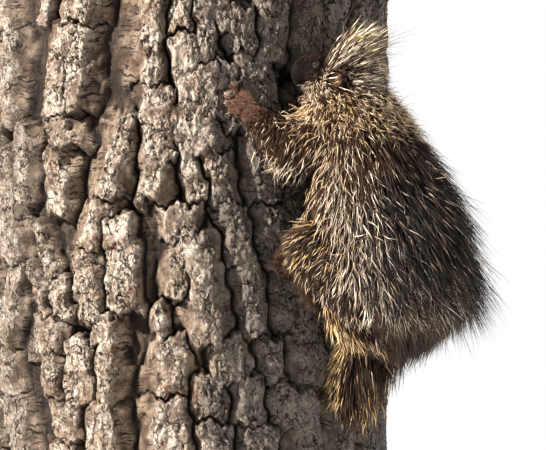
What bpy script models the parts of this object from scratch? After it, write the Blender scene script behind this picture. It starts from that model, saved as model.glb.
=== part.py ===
"""A porcupine climbing a cut length of a furrowed tree trunk, life size, on a display stand.

Metres, +Z up. The trunk stands on the Z axis and the floor is at Z = 0. A place on the trunk is given
by its angle round the axis in degrees, counted from +X towards -Y, by how far out from the bark it is
and by its height. The animal's belly faces the trunk, and its left side is the one at larger angles.
"""

import math
import random

import bmesh
import bpy
from mathutils import Matrix, Vector
from mathutils.bvhtree import BVHTree

# Clearances
GAP = 0.0003
CUT_GAP = 0.0004
FLAT_ANGLE = 0.6

# Display stand
BASE_RADIUS = 0.42
BASE_THICKNESS = 0.028
BASE_EDGE = 0.004
BASE_SIDES = 32
ROD_RADIUS = 0.026
ROD_SIDES = 16
ROD_LENGTH = 0.052
ROD_SPREAD = 0.15

# Cut length of trunk
TRUNK_RADIUS = 0.34
TRUNK_LENGTH = 0.80
TRUNK_FOOT = BASE_THICKNESS + ROD_LENGTH
TRUNK_TRIANGLES = 2400
BARK_DEPTH = 0.026
BARK_FALL = 0.030
BARK_WALL = 0.017
BARK_END_WALL = 2.6
BARK_DOME = 0.0018
BARK_REACH = 0.075
# Ridges of bark on the side with the animal: angle at the top and at the foot of each, height of its top
# and of its foot, half the width of its crest and how far that stands out, in degrees and millimetres.
NEAR_RIDGES = (
    (22, 22, 640, 305, 24, 4),
    (26, 21, 290, 80, 24, 7),
    (27, 26, 875, 655, 24, 6),
    (40, 37, 200, 80, 19, 7),
    (40, 42, 870, 750, 24, 5),
    (41, 44, 735, 375, 24, 4),
    (44, 42, 355, 205, 12, 8),
    (50, 52, 865, 730, 17, 5),
    (53, 52, 210, 80, 24, 6),
    (54, 49, 360, 220, 24, 6),
    (55, 55, 700, 440, 24, 4),
    (60, 58, 220, 145, 19, 4),
    (62, 58, 420, 310, 9, 7),
    (62, 64, 865, 745, 24, 4),
    (63, 62, 510, 425, 22, 4),
    (64, 63, 295, 230, 14, 5),
    (67, 67, 155, 95, 24, 6),
    (67, 65, 745, 665, 18, 3),
    (67, 65, 635, 520, 24, 4),
    (71, 70, 235, 160, 21, 6),
    (71, 69, 420, 305, 14, 9),
    (72, 71, 755, 665, 15, 3),
    (73, 72, 830, 760, 15, 7),
    (76, 72, 510, 420, 15, 9),
    (77, 78, 745, 650, 13, 3),
    (78, 75, 300, 225, 24, 9),
    (80, 77, 860, 795, 13, 4),
    (81, 80, 160, 95, 24, 7),
    (81, 77, 595, 510, 16, 7),
    (83, 81, 235, 170, 19, 7),
    (83, 83, 740, 595, 16, 9),
    (83, 83, 860, 745, 15, 5),
    (86, 82, 470, 285, 18, 15),
    (88, 87, 510, 420, 14, 8),
    (89, 86, 785, 600, 18, 9),
    (89, 90, 860, 795, 14, 6),
    (90, 91, 450, 365, 11, 10),
    (91, 85, 675, 520, 11, 8),
    (92, 93, 300, 210, 21, 9),
    (93, 91, 510, 455, 14, 9),
    (93, 92, 200, 100, 24, 10),
    (95, 94, 700, 585, 16, 12),
    (96, 98, 650, 520, 15, 12),
    (96, 95, 350, 290, 6, 6),
    (97, 98, 860, 710, 13, 12),
    (98, 99, 705, 650, 10, 10),
    (104, 110, 655, 525, 14, 12),
    (108, 106, 495, 340, 24, 3),
    (111, 111, 330, 285, 18, 9),
    (111, 111, 285, 190, 11, 8),
    (112, 117, 515, 440, 15, 11),
    (112, 112, 190, 95, 21, 8),
    (117, 115, 435, 325, 17, 13),
    (118, 120, 865, 810, 24, 10),
    (119, 121, 800, 665, 14, 9),
    (120, 119, 295, 195, 24, 4),
    (124, 128, 805, 655, 17, 10),
    (124, 122, 190, 130, 24, 7),
    (125, 124, 125, 80, 24, 7),
    (126, 124, 390, 330, 15, 8),
    (127, 123, 650, 610, 24, 9),
    (127, 126, 600, 500, 17, 9),
    (129, 132, 865, 810, 11, 4),
    (130, 130, 330, 275, 23, 9),
    (130, 128, 275, 200, 13, 7),
    (134, 129, 480, 395, 12, 6),
    (137, 131, 420, 335, 10, 5),
    (141, 142, 645, 520, 15, 5),
    (143, 152, 410, 280, 21, 7),
    (147, 151, 795, 640, 24, 8),
    (147, 141, 190, 95, 24, 6),
    (151, 145, 605, 415, 24, 9),
    (152, 151, 875, 800, 24, 8),
    (152, 150, 270, 200, 24, 4),
    (23, 23, 715, 635, 20, 6),
    (27, 27, 445, 365, 20, 6),
    (57, 57, 450, 365, 20, 6),
    (74, 74, 715, 635, 16, 6),
)
# Ridges at the back are drawn: columns of them between two angles, each of lengths with short breaks.
FAR_COLUMNS = 18
FAR_START = 159.0
FAR_END = 375.0
FAR_LENGTHS = (0.09, 0.24)
FAR_BREAKS = (0.003, 0.012)
FAR_HALF_WIDTHS = (0.008, 0.019)
FAR_STANDS = (0.002, 0.011)
FAR_LEAN = 3.5
# Grid that the bark is made on: the first and last angle of each side and its number of columns.
NEAR_SIDE = (-15.0, 201.0, 154)
FAR_SIDE = (201.0, 345.0, 63)
BARK_ROWS = 92
BARK_SPARE = 0.012

# Animal
HIP_HEIGHT = 0.41
HEAD_CENTRE = (52.0, 0.080, 0.3065)
HEAD_AIM = (-0.945, 0.255, 0.205)
EYE_RADIUS = 0.0062
LID_THICKNESS = 0.0015
LID_OUT = 0.0026
LID_SPOKES = 12
LID_SIDES = 5
EAR_HEIGHT = 0.030
EAR_WIDTH = 0.024
EAR_TRIANGLES = 130

FORE_MIDDLE = 48.0
HIND_MIDDLE = 42.0
SIDES = {"left": 1, "right": -1}

# How far a coat's core stands above the skin
TORSO_CORE = 0.016
NECK_CORE = 0.004
LIMB_CORE = 0.004
TAIL_CORE = 0.006
HEAD_CORE = 0.002


def around(angle, out, height):
    """A point at an angle round the trunk, out from the bark, above the floor."""
    turn = math.radians(angle)
    radius = TRUNK_RADIUS + out
    return Vector((radius * math.cos(turn), -radius * math.sin(turn), height))


def by_hips(angle, out, up):
    """The same, with the height counted from the hips."""
    return around(angle, out, HIP_HEIGHT + up)


def outward(point):
    """The direction straight out from the trunk's axis."""
    return Vector((point.x, point.y, 0)).normalized()


def leftward(point):
    """The animal's left, along the bark."""
    away = outward(point)
    return Vector((away.y, -away.x, 0))


DOWN = Vector((0, 0, -1))


def new_object(name, points, faces):
    """A mesh object from its points and faces."""
    mesh = bpy.data.meshes.new(name)
    mesh.from_pydata([tuple(point) for point in points], [], faces)
    mesh.validate()
    mesh.update()
    shape = bpy.data.objects.new(name, mesh)
    bpy.context.scene.collection.objects.link(shape)
    return shape


def object_from(work, name):
    """A mesh object from a bmesh, which is then freed."""
    mesh = bpy.data.meshes.new(name)
    work.to_mesh(mesh)
    work.free()
    shape = bpy.data.objects.new(name, mesh)
    bpy.context.scene.collection.objects.link(shape)
    return shape


def settle(shape):
    """Leaves the object with the mesh that its modifiers make."""
    bpy.context.view_layer.update()
    graph = bpy.context.evaluated_depsgraph_get()
    mesh = bpy.data.meshes.new_from_object(shape.evaluated_get(graph))
    shape.modifiers.clear()
    shape.data = mesh
    return shape


def remove(*shapes):
    for shape in shapes:
        bpy.data.objects.remove(shape)


def cut(shape, cutter, keep_cutter=False):
    """Cuts one object away from another."""
    boolean = shape.modifiers.new("Boolean", "BOOLEAN")
    boolean.operation = "DIFFERENCE"
    boolean.solver = "EXACT"
    boolean.object = cutter
    settle(shape)
    if not keep_cutter:
        remove(cutter)
    return keep_largest(shape)


def join(shape, pieces):
    """One union of shape with closed pieces, which are then removed."""
    group = bpy.data.collections.new("pieces")
    bpy.context.scene.collection.children.link(group)
    for piece in pieces:
        group.objects.link(piece)
        bpy.context.scene.collection.objects.unlink(piece)
    boolean = shape.modifiers.new("Boolean", "BOOLEAN")
    boolean.operation = "UNION"
    boolean.operand_type = "COLLECTION"
    boolean.collection = group
    boolean.solver = "MANIFOLD"
    settle(shape)
    remove(*pieces)
    bpy.data.collections.remove(group)
    return keep_largest(shape)


def keep_largest(shape):
    """Drops every closed surface of the mesh but the one that holds most volume."""
    work = bmesh.new()
    work.from_mesh(shape.data)
    bmesh.ops.triangulate(work, faces=work.faces)
    work.faces.ensure_lookup_table()
    seen = set()
    surfaces = []
    for start in work.faces:
        if start.index in seen:
            continue
        surface = []
        waiting = [start]
        seen.add(start.index)
        while waiting:
            face = waiting.pop()
            surface.append(face)
            for edge in face.edges:
                for neighbour in edge.link_faces:
                    if neighbour.index not in seen:
                        seen.add(neighbour.index)
                        waiting.append(neighbour)
        surfaces.append(surface)
    surfaces.sort(key=lambda faces: -abs(sum(signed_volume(face) for face in faces)))
    dropped = [face for surface in surfaces[1:] for face in surface]
    bmesh.ops.delete(work, geom=dropped, context="FACES")
    work.to_mesh(shape.data)
    work.free()
    return shape


def tidied(shape):
    """Dissolves the edges that cuts and unions left on flat faces, and splits those into triangles again."""
    work = bmesh.new()
    work.from_mesh(shape.data)
    bmesh.ops.dissolve_limit(work, angle_limit=math.radians(FLAT_ANGLE), verts=work.verts, edges=work.edges)
    bmesh.ops.triangulate(work, faces=work.faces)
    work.to_mesh(shape.data)
    work.free()
    return shape


def signed_volume(face):
    a, b, c = (corner.co for corner in face.verts)
    return a.dot(b.cross(c)) / 6


def thinned(shape, triangles):
    """Decimates the mesh to about so many triangles."""
    shape.data.calc_loop_triangles()
    decimate = shape.modifiers.new("Decimate", "DECIMATE")
    decimate.ratio = min(1.0, triangles / len(shape.data.loop_triangles))
    decimate.use_collapse_triangulate = True
    return settle(shape)


def swollen(shape, amount=CUT_GAP):
    """A copy of the object that stands out from it by a small gap, for cutting its neighbours."""
    copy = bpy.data.objects.new("swollen", shape.data.copy())
    bpy.context.scene.collection.objects.link(copy)
    displace = copy.modifiers.new("Displace", "DISPLACE")
    displace.strength = amount
    displace.mid_level = 0
    return settle(copy)


def unit_ball(subdivisions):
    """Points and faces of a ball of radius 1."""
    work = bmesh.new()
    bmesh.ops.create_icosphere(work, subdivisions=subdivisions, radius=1)
    points = [vertex.co.copy() for vertex in work.verts]
    faces = [[vertex.index for vertex in face.verts] for face in work.faces]
    work.free()
    return points, faces


SMALL_BALL = unit_ball(1)
BALL = unit_ball(2)
FINE_BALL = unit_ball(3)


def ellipsoid(centre, axes, ball=BALL):
    """Points and faces of an ellipsoid with these three half axes, given as vectors."""
    points, faces = ball
    turned = [centre + axes[0] * p.x + axes[1] * p.y + axes[2] * p.z for p in points]
    return turned, faces


def gather(shapes):
    """Several lots of points and faces as one."""
    points = []
    faces = []
    for some_points, some_faces in shapes:
        start = len(points)
        points += some_points
        faces += [[start + index for index in face] for face in some_faces]
    return points, faces


def smooth_step(low, high, value):
    share = min(1.0, max(0.0, (value - low) / (high - low)))
    return share * share * (3 - 2 * share)


def spline(a, b, c, d, share):
    """A smooth value between b and c, for numbers or vectors."""
    square = share * share
    cube = square * share
    return (
        b * 2 + (c - a) * share + (a * 2 - b * 5 + c * 4 - d) * square + (b * 3 - a - c * 3 + d) * cube
    ) * 0.5


def beads(stations, depth_direction, spacing=0.3):
    """Overlapping ellipsoids along stations of (centre, half width, half depth).

    depth_direction(centre) is the way in which the half depth is measured.
    """
    shapes = []
    for i in range(len(stations) - 1):
        after = stations[min(len(stations) - 1, i + 2)]
        near = [stations[max(0, i - 1)], stations[i], stations[i + 1], after]
        length = (near[2][0] - near[1][0]).length
        smallest = min(near[1][1], near[1][2], near[2][1], near[2][2])
        count = max(2, math.ceil(length / (smallest * spacing)))
        for step in range(count + (i == len(stations) - 2)):
            share = step / count
            centre, half_width, half_depth = (spline(*(place[k] for place in near), share) for k in range(3))
            along = (spline(*(p[0] for p in near), share + 0.01) - centre).normalized()
            depth = depth_direction(centre)
            depth = (depth - along * depth.dot(along)).normalized()
            across = depth.cross(along)
            axes = (across * half_width, depth * half_depth, along * min(half_width, half_depth))
            shapes.append(ellipsoid(centre, axes))
    return gather(shapes)


def grown(stations, amount):
    return [(centre, width + amount, depth + amount) for centre, width, depth in stations]


def body_core():
    """The trunk of the body out to its coat's core, which thins along the neck."""
    stations = []
    for centre, width, depth in placed(BODY_STATIONS):
        core = TORSO_CORE + (NECK_CORE - TORSO_CORE) * smooth_step(0.17, 0.29, centre.z - HIP_HEIGHT)
        stations.append((centre, width + core, depth + core))
    return stations


def flesh(name, shapes, voxel, smoothing, triangles):
    """One smooth closed body round overlapping shapes."""
    shape = new_object(name, *gather(shapes))
    remesh = shape.modifiers.new("Remesh", "REMESH")
    remesh.mode = "VOXEL"
    remesh.voxel_size = voxel
    smooth = shape.modifiers.new("Smooth", "SMOOTH")
    smooth.factor = 0.5
    smooth.iterations = smoothing
    settle(shape)
    return keep_largest(thinned(shape, triangles))


def sliced(shape, point, normal):
    """Keeps the half of a body behind a plane, half the gap away from it, and closes it there."""
    work = bmesh.new()
    work.from_mesh(shape.data)
    found = bmesh.ops.bisect_plane(
        work,
        geom=work.verts[:] + work.edges[:] + work.faces[:],
        plane_co=point - normal.normalized() * GAP / 2,
        plane_no=normal,
        clear_outer=True,
    )
    rim = [item for item in found["geom_cut"] if isinstance(item, bmesh.types.BMEdge)]
    bmesh.ops.holes_fill(work, edges=rim)
    bmesh.ops.recalc_face_normals(work, faces=work.faces)
    work.to_mesh(shape.data)
    work.free()
    return keep_largest(shape)


def parted(shape, point, normal):
    """Parts a body at a plane into two, behind and before it, with the gap between them."""
    before = bpy.data.objects.new("before", shape.data.copy())
    bpy.context.scene.collection.objects.link(before)
    return sliced(shape, point, normal), sliced(before, point, -normal)


# Trunk and stand


def ridges():
    """Every ridge of bark round the trunk, in degrees and metres. Those at the back are drawn."""
    draw = random.Random(5)
    made = [(*row[:2], *(number / 1000 for number in row[2:])) for row in NEAR_RIDGES]
    pitch = (FAR_END - FAR_START) / FAR_COLUMNS
    for column in range(FAR_COLUMNS + 1):
        top = TRUNK_FOOT + TRUNK_LENGTH + draw.uniform(0, 0.1)
        angle = FAR_START + pitch * column + draw.uniform(-1.5, 1.5)
        while top > TRUNK_FOOT:
            length = draw.uniform(*FAR_LENGTHS)
            foot_angle = angle + draw.uniform(-FAR_LEAN, FAR_LEAN)
            half_width = draw.uniform(*FAR_HALF_WIDTHS)
            made.append((angle, foot_angle, top, top - length, half_width, draw.uniform(*FAR_STANDS)))
            top -= length + draw.uniform(*FAR_BREAKS)
            angle = 0.5 * (foot_angle + FAR_START + pitch * column) + draw.uniform(-1, 1)
    return made


def bark_waver(angle, height):
    """How far the edges of the ridges sway sideways and up at a place."""
    sideways = 0.0030 * math.sin(height / 0.021 + 2.3 * math.sin(angle * 0.31))
    sideways += 0.0024 * math.sin(height / 0.021 * 2.3 + angle * 0.9)
    upward = 0.0050 * math.sin(angle * 0.83 + 1.7 * math.sin(height / 0.05))
    upward += 0.0020 * math.sin(angle * 2.9)
    return sideways, upward


def bark_out(lines, angle, height):
    """How far the bark stands out at a place: the highest ridge there, on walls that fall to the furrows."""
    waver, lift = bark_waver(angle, height)
    level = height + lift
    best = -BARK_DEPTH
    for top_angle, foot_angle, top, foot, half_width, stand in lines:
        beyond = max(foot - level, level - top, 0)
        if beyond > BARK_REACH / BARK_END_WALL:
            continue
        share = min(1.0, max(0.0, (level - foot) / (top - foot)))
        apart = (angle - foot_angle - (top_angle - foot_angle) * share + 180) % 360 - 180
        sideways = abs(math.radians(apart) * TRUNK_RADIUS + waver)
        if sideways > BARK_REACH:
            continue
        outside = math.hypot(max(sideways - half_width, 0), BARK_END_WALL * beyond)
        dome = BARK_DOME * min(sideways / half_width, 1.5) ** 2
        best = max(best, stand - dome - BARK_FALL * (1 - math.exp(-outside / BARK_WALL)))
    return best


def build_trunk():
    """The cut trunk with its ridges of bark, made on a close grid, thinned and cut flat at both ends."""
    lines = ridges()
    angles = []
    for start, end, columns in (NEAR_SIDE, FAR_SIDE):
        angles += [start + (end - start) * k / columns for k in range(columns)]
    count = len(angles)
    points = []
    for row in range(BARK_ROWS):
        share = row / (BARK_ROWS - 1)
        height = TRUNK_FOOT - BARK_SPARE + (TRUNK_LENGTH + 2 * BARK_SPARE) * share
        points += [around(angle, bark_out(lines, angle, height), height) for angle in angles]
    faces = []
    for row in range(BARK_ROWS - 1):
        for k in range(count):
            a, b = row * count + k, row * count + (k + 1) % count
            faces.append([a, a + count, b + count, b])
    faces.append(list(range(count)))
    faces.append([len(points) - 1 - k for k in range(count)])
    trunk = thinned(new_object("perch_trunk", points, faces), TRUNK_TRIANGLES)
    up = Vector((0, 0, 1))
    sliced(trunk, Vector((0, 0, TRUNK_FOOT - GAP / 2)), -up)
    sliced(trunk, Vector((0, 0, TRUNK_FOOT + TRUNK_LENGTH + GAP / 2)), up)
    return trunk


def upright(name, radius, foot, top, sides, bevel=0.0, x=0.0):
    """A round upright piece, with its upper and lower edges bevelled."""
    work = bmesh.new()
    bmesh.ops.create_cone(
        work,
        cap_ends=True,
        segments=sides,
        radius1=radius,
        radius2=radius,
        depth=top - foot,
        matrix=Matrix.Translation((x, 0, (foot + top) / 2)),
    )
    if bevel:
        rims = [edge for edge in work.edges if abs(edge.verts[0].co.z - edge.verts[1].co.z) < bevel]
        bmesh.ops.bevel(work, geom=rims, offset=bevel, segments=1, profile=0.5, affect="EDGES")
    bmesh.ops.triangulate(work, faces=work.faces)
    return object_from(work, name)


def build_stand():
    """A round base, and two rods that carry the trunk above it."""
    upright("stand_base", BASE_RADIUS, 0, BASE_THICKNESS, BASE_SIDES, BASE_EDGE)
    foot, top = BASE_THICKNESS + GAP, TRUNK_FOOT - GAP
    for name, side in (("stand_rod_left", -1), ("stand_rod_right", 1)):
        upright(name, ROD_RADIUS, foot, top, ROD_SIDES, x=side * ROD_SPREAD)


# Head


def head_frame():
    """The head's own frame: forwards along the muzzle, to its left, and up through the crown."""
    forward = Vector(HEAD_AIM).normalized()
    left = Vector((0, 0, 1)).cross(forward).normalized()
    up = forward.cross(left)
    centre = by_hips(*HEAD_CENTRE)
    return Matrix((forward, left, up)).transposed().to_4x4(), centre


HEAD_TURN, HEAD_ORIGIN = head_frame()


def on_head(forward, left, up):
    return HEAD_ORIGIN + HEAD_TURN.to_3x3() @ Vector((forward, left, up))


def head_direction(forward, left, up):
    return HEAD_TURN.to_3x3() @ Vector((forward, left, up))


HEAD_UP = head_direction(0, 0, 1)
# Skin of the head: place along its axis, height of that place, half width and half height.
HEAD_STATIONS = (
    (-0.034, 0.000, 0.026, 0.027),
    (-0.014, 0.001, 0.033, 0.034),
    (0.010, -0.001, 0.036, 0.036),
    (0.028, -0.002, 0.032, 0.034),
    (0.043, -0.003, 0.025, 0.030),
    (0.055, -0.003, 0.022, 0.027),
    (0.063, -0.002, 0.020, 0.024),
)
EYE_PLACE = (0.0375, 0.0275, 0.0125)
EAR_PLACE = (0.000, 0.036, -0.009)
NOSTRIL_PLACE = (0.0765, 0.0078, 0.006)
NOSTRIL_AXES = ((0.006, 0, 0), (0, 0.0022, 0.001), (0, -0.002, 0.0042))
NAPE_PLACE = (-0.012, 0, -0.017)
NAPE_NORMAL = (-0.70, 0, -0.71)
MOUTH_POINTS = 9
MOUTH_RADIUS = 0.0016
MOUTH_SWING = 78


def nape():
    """A point and the normal of the plane in which the head meets the neck."""
    return on_head(*NAPE_PLACE), head_direction(*NAPE_NORMAL)


def head_shapes(grow):
    stations = [(on_head(x, 0, z), width + grow, depth + grow) for x, z, width, depth in HEAD_STATIONS]
    shapes = [beads(stations, lambda centre: HEAD_UP)]

    def lump(x, y, z, length, width, height):
        axes = (head_direction(length, 0, 0), head_direction(0, width, 0), head_direction(0, 0, height))
        shapes.append(ellipsoid(on_head(x, y, z), axes))

    lump(0.068, 0, 0.006, 0.0085, 0.0165, 0.0130)
    lump(0.048, 0, -0.025, 0.019, 0.014, 0.011)
    for side in (-1, 1):
        lump(0.061, side * 0.0115, -0.010, 0.014, 0.011, 0.012)
        lump(0.014, side * 0.024, -0.018, 0.026, 0.016, 0.019)
        lump(0.036, side * 0.0215, 0.022, 0.017, 0.009, 0.007)
    return shapes


def tree_of(shape):
    points = [vertex.co for vertex in shape.data.vertices]
    faces = [list(polygon.vertices) for polygon in shape.data.polygons]
    return BVHTree.FromPolygons(points, faces)


def ring_ridge(centre, axis, radius, thickness):
    """A torus, as a lid round an eye."""
    work = bmesh.new()
    turn = axis.to_track_quat("Z", "Y").to_matrix()
    rings = []
    for i in range(LID_SPOKES):
        angle = 2 * math.pi * i / LID_SPOKES
        spoke = turn @ Vector((math.cos(angle), math.sin(angle), 0))
        ring = []
        for k in range(LID_SIDES):
            tilt = 2 * math.pi * k / LID_SIDES
            offset = spoke * math.cos(tilt) + axis * math.sin(tilt)
            ring.append(work.verts.new(centre + spoke * radius + offset * thickness))
        rings.append(ring)
    for i in range(LID_SPOKES):
        ring, after = rings[i], rings[(i + 1) % LID_SPOKES]
        for k in range(LID_SIDES):
            m = (k + 1) % LID_SIDES
            work.faces.new((ring[k], ring[m], after[m], after[k]))
    bmesh.ops.recalc_face_normals(work, faces=work.faces)
    return object_from(work, "lid")


def tube(points, radii, sides=6, spin=0.0):
    """A closed tapered tube through points, as points and faces."""
    rings = []
    made = []
    for i, point in enumerate(points):
        along = (points[min(i + 1, len(points) - 1)] - points[max(i - 1, 0)]).normalized()
        side = along.orthogonal().normalized() if i == 0 else (side - along * side.dot(along)).normalized()
        up = along.cross(side)
        ring = []
        for k in range(sides):
            angle = spin + 2 * math.pi * k / sides
            ring.append(len(made))
            made.append(point + (side * math.cos(angle) + up * math.sin(angle)) * radii[i])
        rings.append(ring)
    faces = []
    for ring, after in zip(rings, rings[1:]):
        for k in range(sides):
            m = (k + 1) % sides
            faces.append([ring[k], ring[m], after[m]])
            faces.append([ring[k], after[m], after[k]])
    for k in range(1, sides - 1):
        faces.append([rings[0][0], rings[0][k + 1], rings[0][k]])
        faces.append([rings[-1][0], rings[-1][k], rings[-1][k + 1]])
    return made, faces


def eye_centre(side):
    return on_head(EYE_PLACE[0], side * EYE_PLACE[1], EYE_PLACE[2])


def eye_axis(side):
    return head_direction(0.35, side * 0.92, 0.16).normalized()


def ball_object(name, centre, radius):
    axes = (Vector((radius, 0, 0)), Vector((0, radius, 0)), Vector((0, 0, radius)))
    return new_object(name, *ellipsoid(centre, axes))


def mouth_line(head):
    """A thin tube along the head's surface, where the lips meet."""
    tree = tree_of(head)
    line = []
    for k in range(MOUTH_POINTS):
        share = 2 * k / (MOUTH_POINTS - 1) - 1
        start = on_head(0.024 + 0.034 * (1 - abs(share)), 0, -0.019)
        swing = math.radians(MOUTH_SWING) * share
        heading = head_direction(math.cos(swing), math.sin(swing), 0.02).normalized()
        place = tree.ray_cast(start, heading)[0]
        line.append(place + (place - start).normalized() * 0.0004)
    return new_object("mouth", *tube(line, [MOUTH_RADIUS] * MOUTH_POINTS, 4))


def build_head(nodes):
    """The bare head with its lids, nostrils and mouth, the eyes and the ears."""
    head = flesh("head", head_shapes(HEAD_CORE), 0.0025, 6, 640)
    sliced(head, *nape())
    outside = swollen(head)
    lids = []
    for side in SIDES.values():
        axis = eye_axis(side)
        lids.append(ring_ridge(eye_centre(side) + axis * LID_OUT, axis, EYE_RADIUS + GAP, LID_THICKNESS))
    join(head, lids)
    for side in SIDES.values():
        cut(head, ball_object("socket", eye_centre(side), EYE_RADIUS + CUT_GAP))
        place = on_head(NOSTRIL_PLACE[0], side * NOSTRIL_PLACE[1], NOSTRIL_PLACE[2])
        axes = [head_direction(*axis) for axis in NOSTRIL_AXES]
        cut(head, new_object("nostril", *ellipsoid(place, axes, SMALL_BALL)))
    cut(head, mouth_line(head))
    nodes["head"] = head
    for name, side in SIDES.items():
        nodes[f"eye_{name}"] = ball_object(f"eye_{name}", eye_centre(side), EYE_RADIUS)
        nodes[f"ear_{name}"] = build_ear(f"ear_{name}", side, outside)
    remove(outside)


def build_ear(name, side, head_cutter):
    """A small round ear with a cup, set on the head's side."""
    root = on_head(EAR_PLACE[0], side * EAR_PLACE[1], EAR_PLACE[2])
    rise = head_direction(-0.55, side * 0.62, 0.56).normalized()
    mouth = head_direction(0.72, side * 0.66, 0.05)
    mouth = (mouth - rise * mouth.dot(rise)).normalized()
    across = mouth.cross(rise)
    centre = root + rise * EAR_HEIGHT * 0.30
    axes = (across * EAR_WIDTH / 2, mouth * 0.0075, rise * EAR_HEIGHT / 2)
    ear = new_object(name, *ellipsoid(centre, axes, FINE_BALL))
    hollow_axes = (across * (EAR_WIDTH / 2 - 0.0022), mouth * 0.0085, rise * (EAR_HEIGHT / 2 - 0.0024))
    hollow = ellipsoid(centre + mouth * 0.0058 + rise * 0.0014, hollow_axes, FINE_BALL)
    cut(ear, new_object("hollow", *hollow))
    cut(ear, head_cutter, keep_cutter=True)
    return thinned(ear, EAR_TRIANGLES)


# Body, tail and limbs: angle, out from the bark, up from the hips, half width and half depth of the skin

BODY_STATIONS = (
    (40.0, 0.086, -0.060, 0.050, 0.044),
    (40.6, 0.102, -0.036, 0.091, 0.081),
    (42.0, 0.114, 0.000, 0.119, 0.104),
    (42.6, 0.110, 0.060, 0.115, 0.098),
    (43.8, 0.101, 0.118, 0.102, 0.087),
    (46.0, 0.093, 0.172, 0.087, 0.075),
    (48.4, 0.087, 0.216, 0.073, 0.065),
    (49.8, 0.083, 0.252, 0.057, 0.054),
    (50.6, 0.081, 0.280, 0.040, 0.042),
    (51.2, 0.080, 0.298, 0.028, 0.030),
)
TAIL_STATIONS = (
    (38.0, 0.092, -0.070, 0.046, 0.040),
    (37.6, 0.066, -0.104, 0.043, 0.036),
    (38.4, 0.047, -0.142, 0.037, 0.031),
    (39.8, 0.037, -0.180, 0.030, 0.025),
    (41.2, 0.031, -0.212, 0.021, 0.018),
    (42.0, 0.029, -0.232, 0.011, 0.010),
)
NECK_PLACE = (49.2, 0.088, 0.238)
# Limbs give the turn away from the animal's middle in place of the angle.
FORELIMB = (
    (4.0, 0.085, 0.224, 0.040, 0.040),
    (8.0, 0.065, 0.210, 0.035, 0.034),
    (13.4, 0.040, 0.206, 0.027, 0.026),
    (17.0, 0.031, 0.221, 0.022, 0.020),
    (20.0, 0.026, 0.234, 0.019, 0.017),
    (23.0, 0.021, 0.247, 0.016, 0.014),
)
ELBOW = 2
FOREPAW = (
    (21.6, 0.022, 0.242, 0.016, 0.013),
    (24.4, 0.015, 0.258, 0.018, 0.011),
    (26.2, 0.012, 0.266, 0.018, 0.009),
)
THIGH = (
    (7.5, 0.118, -0.022, 0.062, 0.052),
    (12.0, 0.103, 0.006, 0.054, 0.047),
    (16.2, 0.079, 0.034, 0.040, 0.037),
)
SHANK = (
    (17.0, 0.072, 0.036, 0.034, 0.032),
    (14.2, 0.052, 0.000, 0.027, 0.025),
    (11.4, 0.032, -0.030, 0.021, 0.018),
)
HINDPAW = (
    (10.6, 0.026, -0.036, 0.018, 0.016),
    (13.6, 0.016, -0.014, 0.019, 0.013),
    (17.2, 0.011, 0.008, 0.020, 0.010),
)
# Digits: turn and height of the knuckle and of the tip. The claw goes on from there into the bark.
FORE_DIGITS = (
    (26.1, 0.279, 27.0, 0.289),
    (26.9, 0.271, 28.5, 0.277),
    (27.0, 0.262, 28.6, 0.264),
    (26.1, 0.253, 27.6, 0.251),
)
HIND_DIGITS = (
    (15.8, 0.018, 17.4, 0.030),
    (17.2, 0.014, 19.0, 0.025),
    (18.2, 0.008, 20.1, 0.017),
    (18.7, 0.000, 20.5, 0.006),
    (18.4, -0.009, 20.0, -0.006),
)
DIGIT_RADIUS = 0.0056
DIGIT_OUT = 0.0085
CLAW_LENGTH = 0.016
CLAW_RADIUS = 0.0026


def placed(stations, middle=0.0, side=1):
    """Stations as points with a half width and half depth, turned by their angle from the middle."""
    return [(by_hips(middle + side * turn, out, up), *widths) for turn, out, up, *widths in stations]


def build_digits(paw, digits, middle, side):
    """Joins the digits and their curved claws to a paw."""
    pieces = []
    for turn, up, tip_turn, tip_up in digits:
        knuckle = by_hips(middle + side * turn, DIGIT_OUT, up)
        tip = by_hips(middle + side * tip_turn, DIGIT_OUT * 0.9, tip_up)
        ahead = (tip - knuckle).normalized()
        back = knuckle - ahead * 0.012
        radii = [DIGIT_RADIUS, DIGIT_RADIUS * 1.05, DIGIT_RADIUS * 0.6]
        pieces.append(new_object("digit", *tube([back, knuckle, tip + ahead * 0.002], radii, 5)))
        rise = outward(tip)
        root = tip - ahead * 0.002 + rise * 0.001
        claw_points = [
            root,
            root + ahead * CLAW_LENGTH * 0.5 + rise * 0.0010,
            root + ahead * CLAW_LENGTH - rise * 0.0062,
        ]
        claw_radii = [CLAW_RADIUS, CLAW_RADIUS * 0.8, CLAW_RADIUS * 0.12]
        pieces.append(new_object("claw", *tube(claw_points, claw_radii, 3)))
    return join(paw, pieces)


def build_body(nodes, trunk_cutter):
    """Torso and neck, parted at a plane, and the tail."""
    body = flesh("body", [beads(body_core(), outward)], 0.006, 8, 620)
    cut(body, trunk_cutter, keep_cutter=True)
    neck_place = by_hips(*NECK_PLACE)
    nodes["torso"], neck = parted(body, neck_place, Vector((0, 0, 1)) - outward(neck_place) * 0.15)
    nape_place, nape_normal = nape()
    nodes["neck"] = sliced(neck, nape_place, -nape_normal)
    tail = flesh("tail", [beads(grown(placed(TAIL_STATIONS), TAIL_CORE), outward)], 0.004, 5, 190)
    cut(tail, trunk_cutter, keep_cutter=True)
    nodes["tail"] = cut(tail, swollen(nodes["torso"]))


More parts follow.
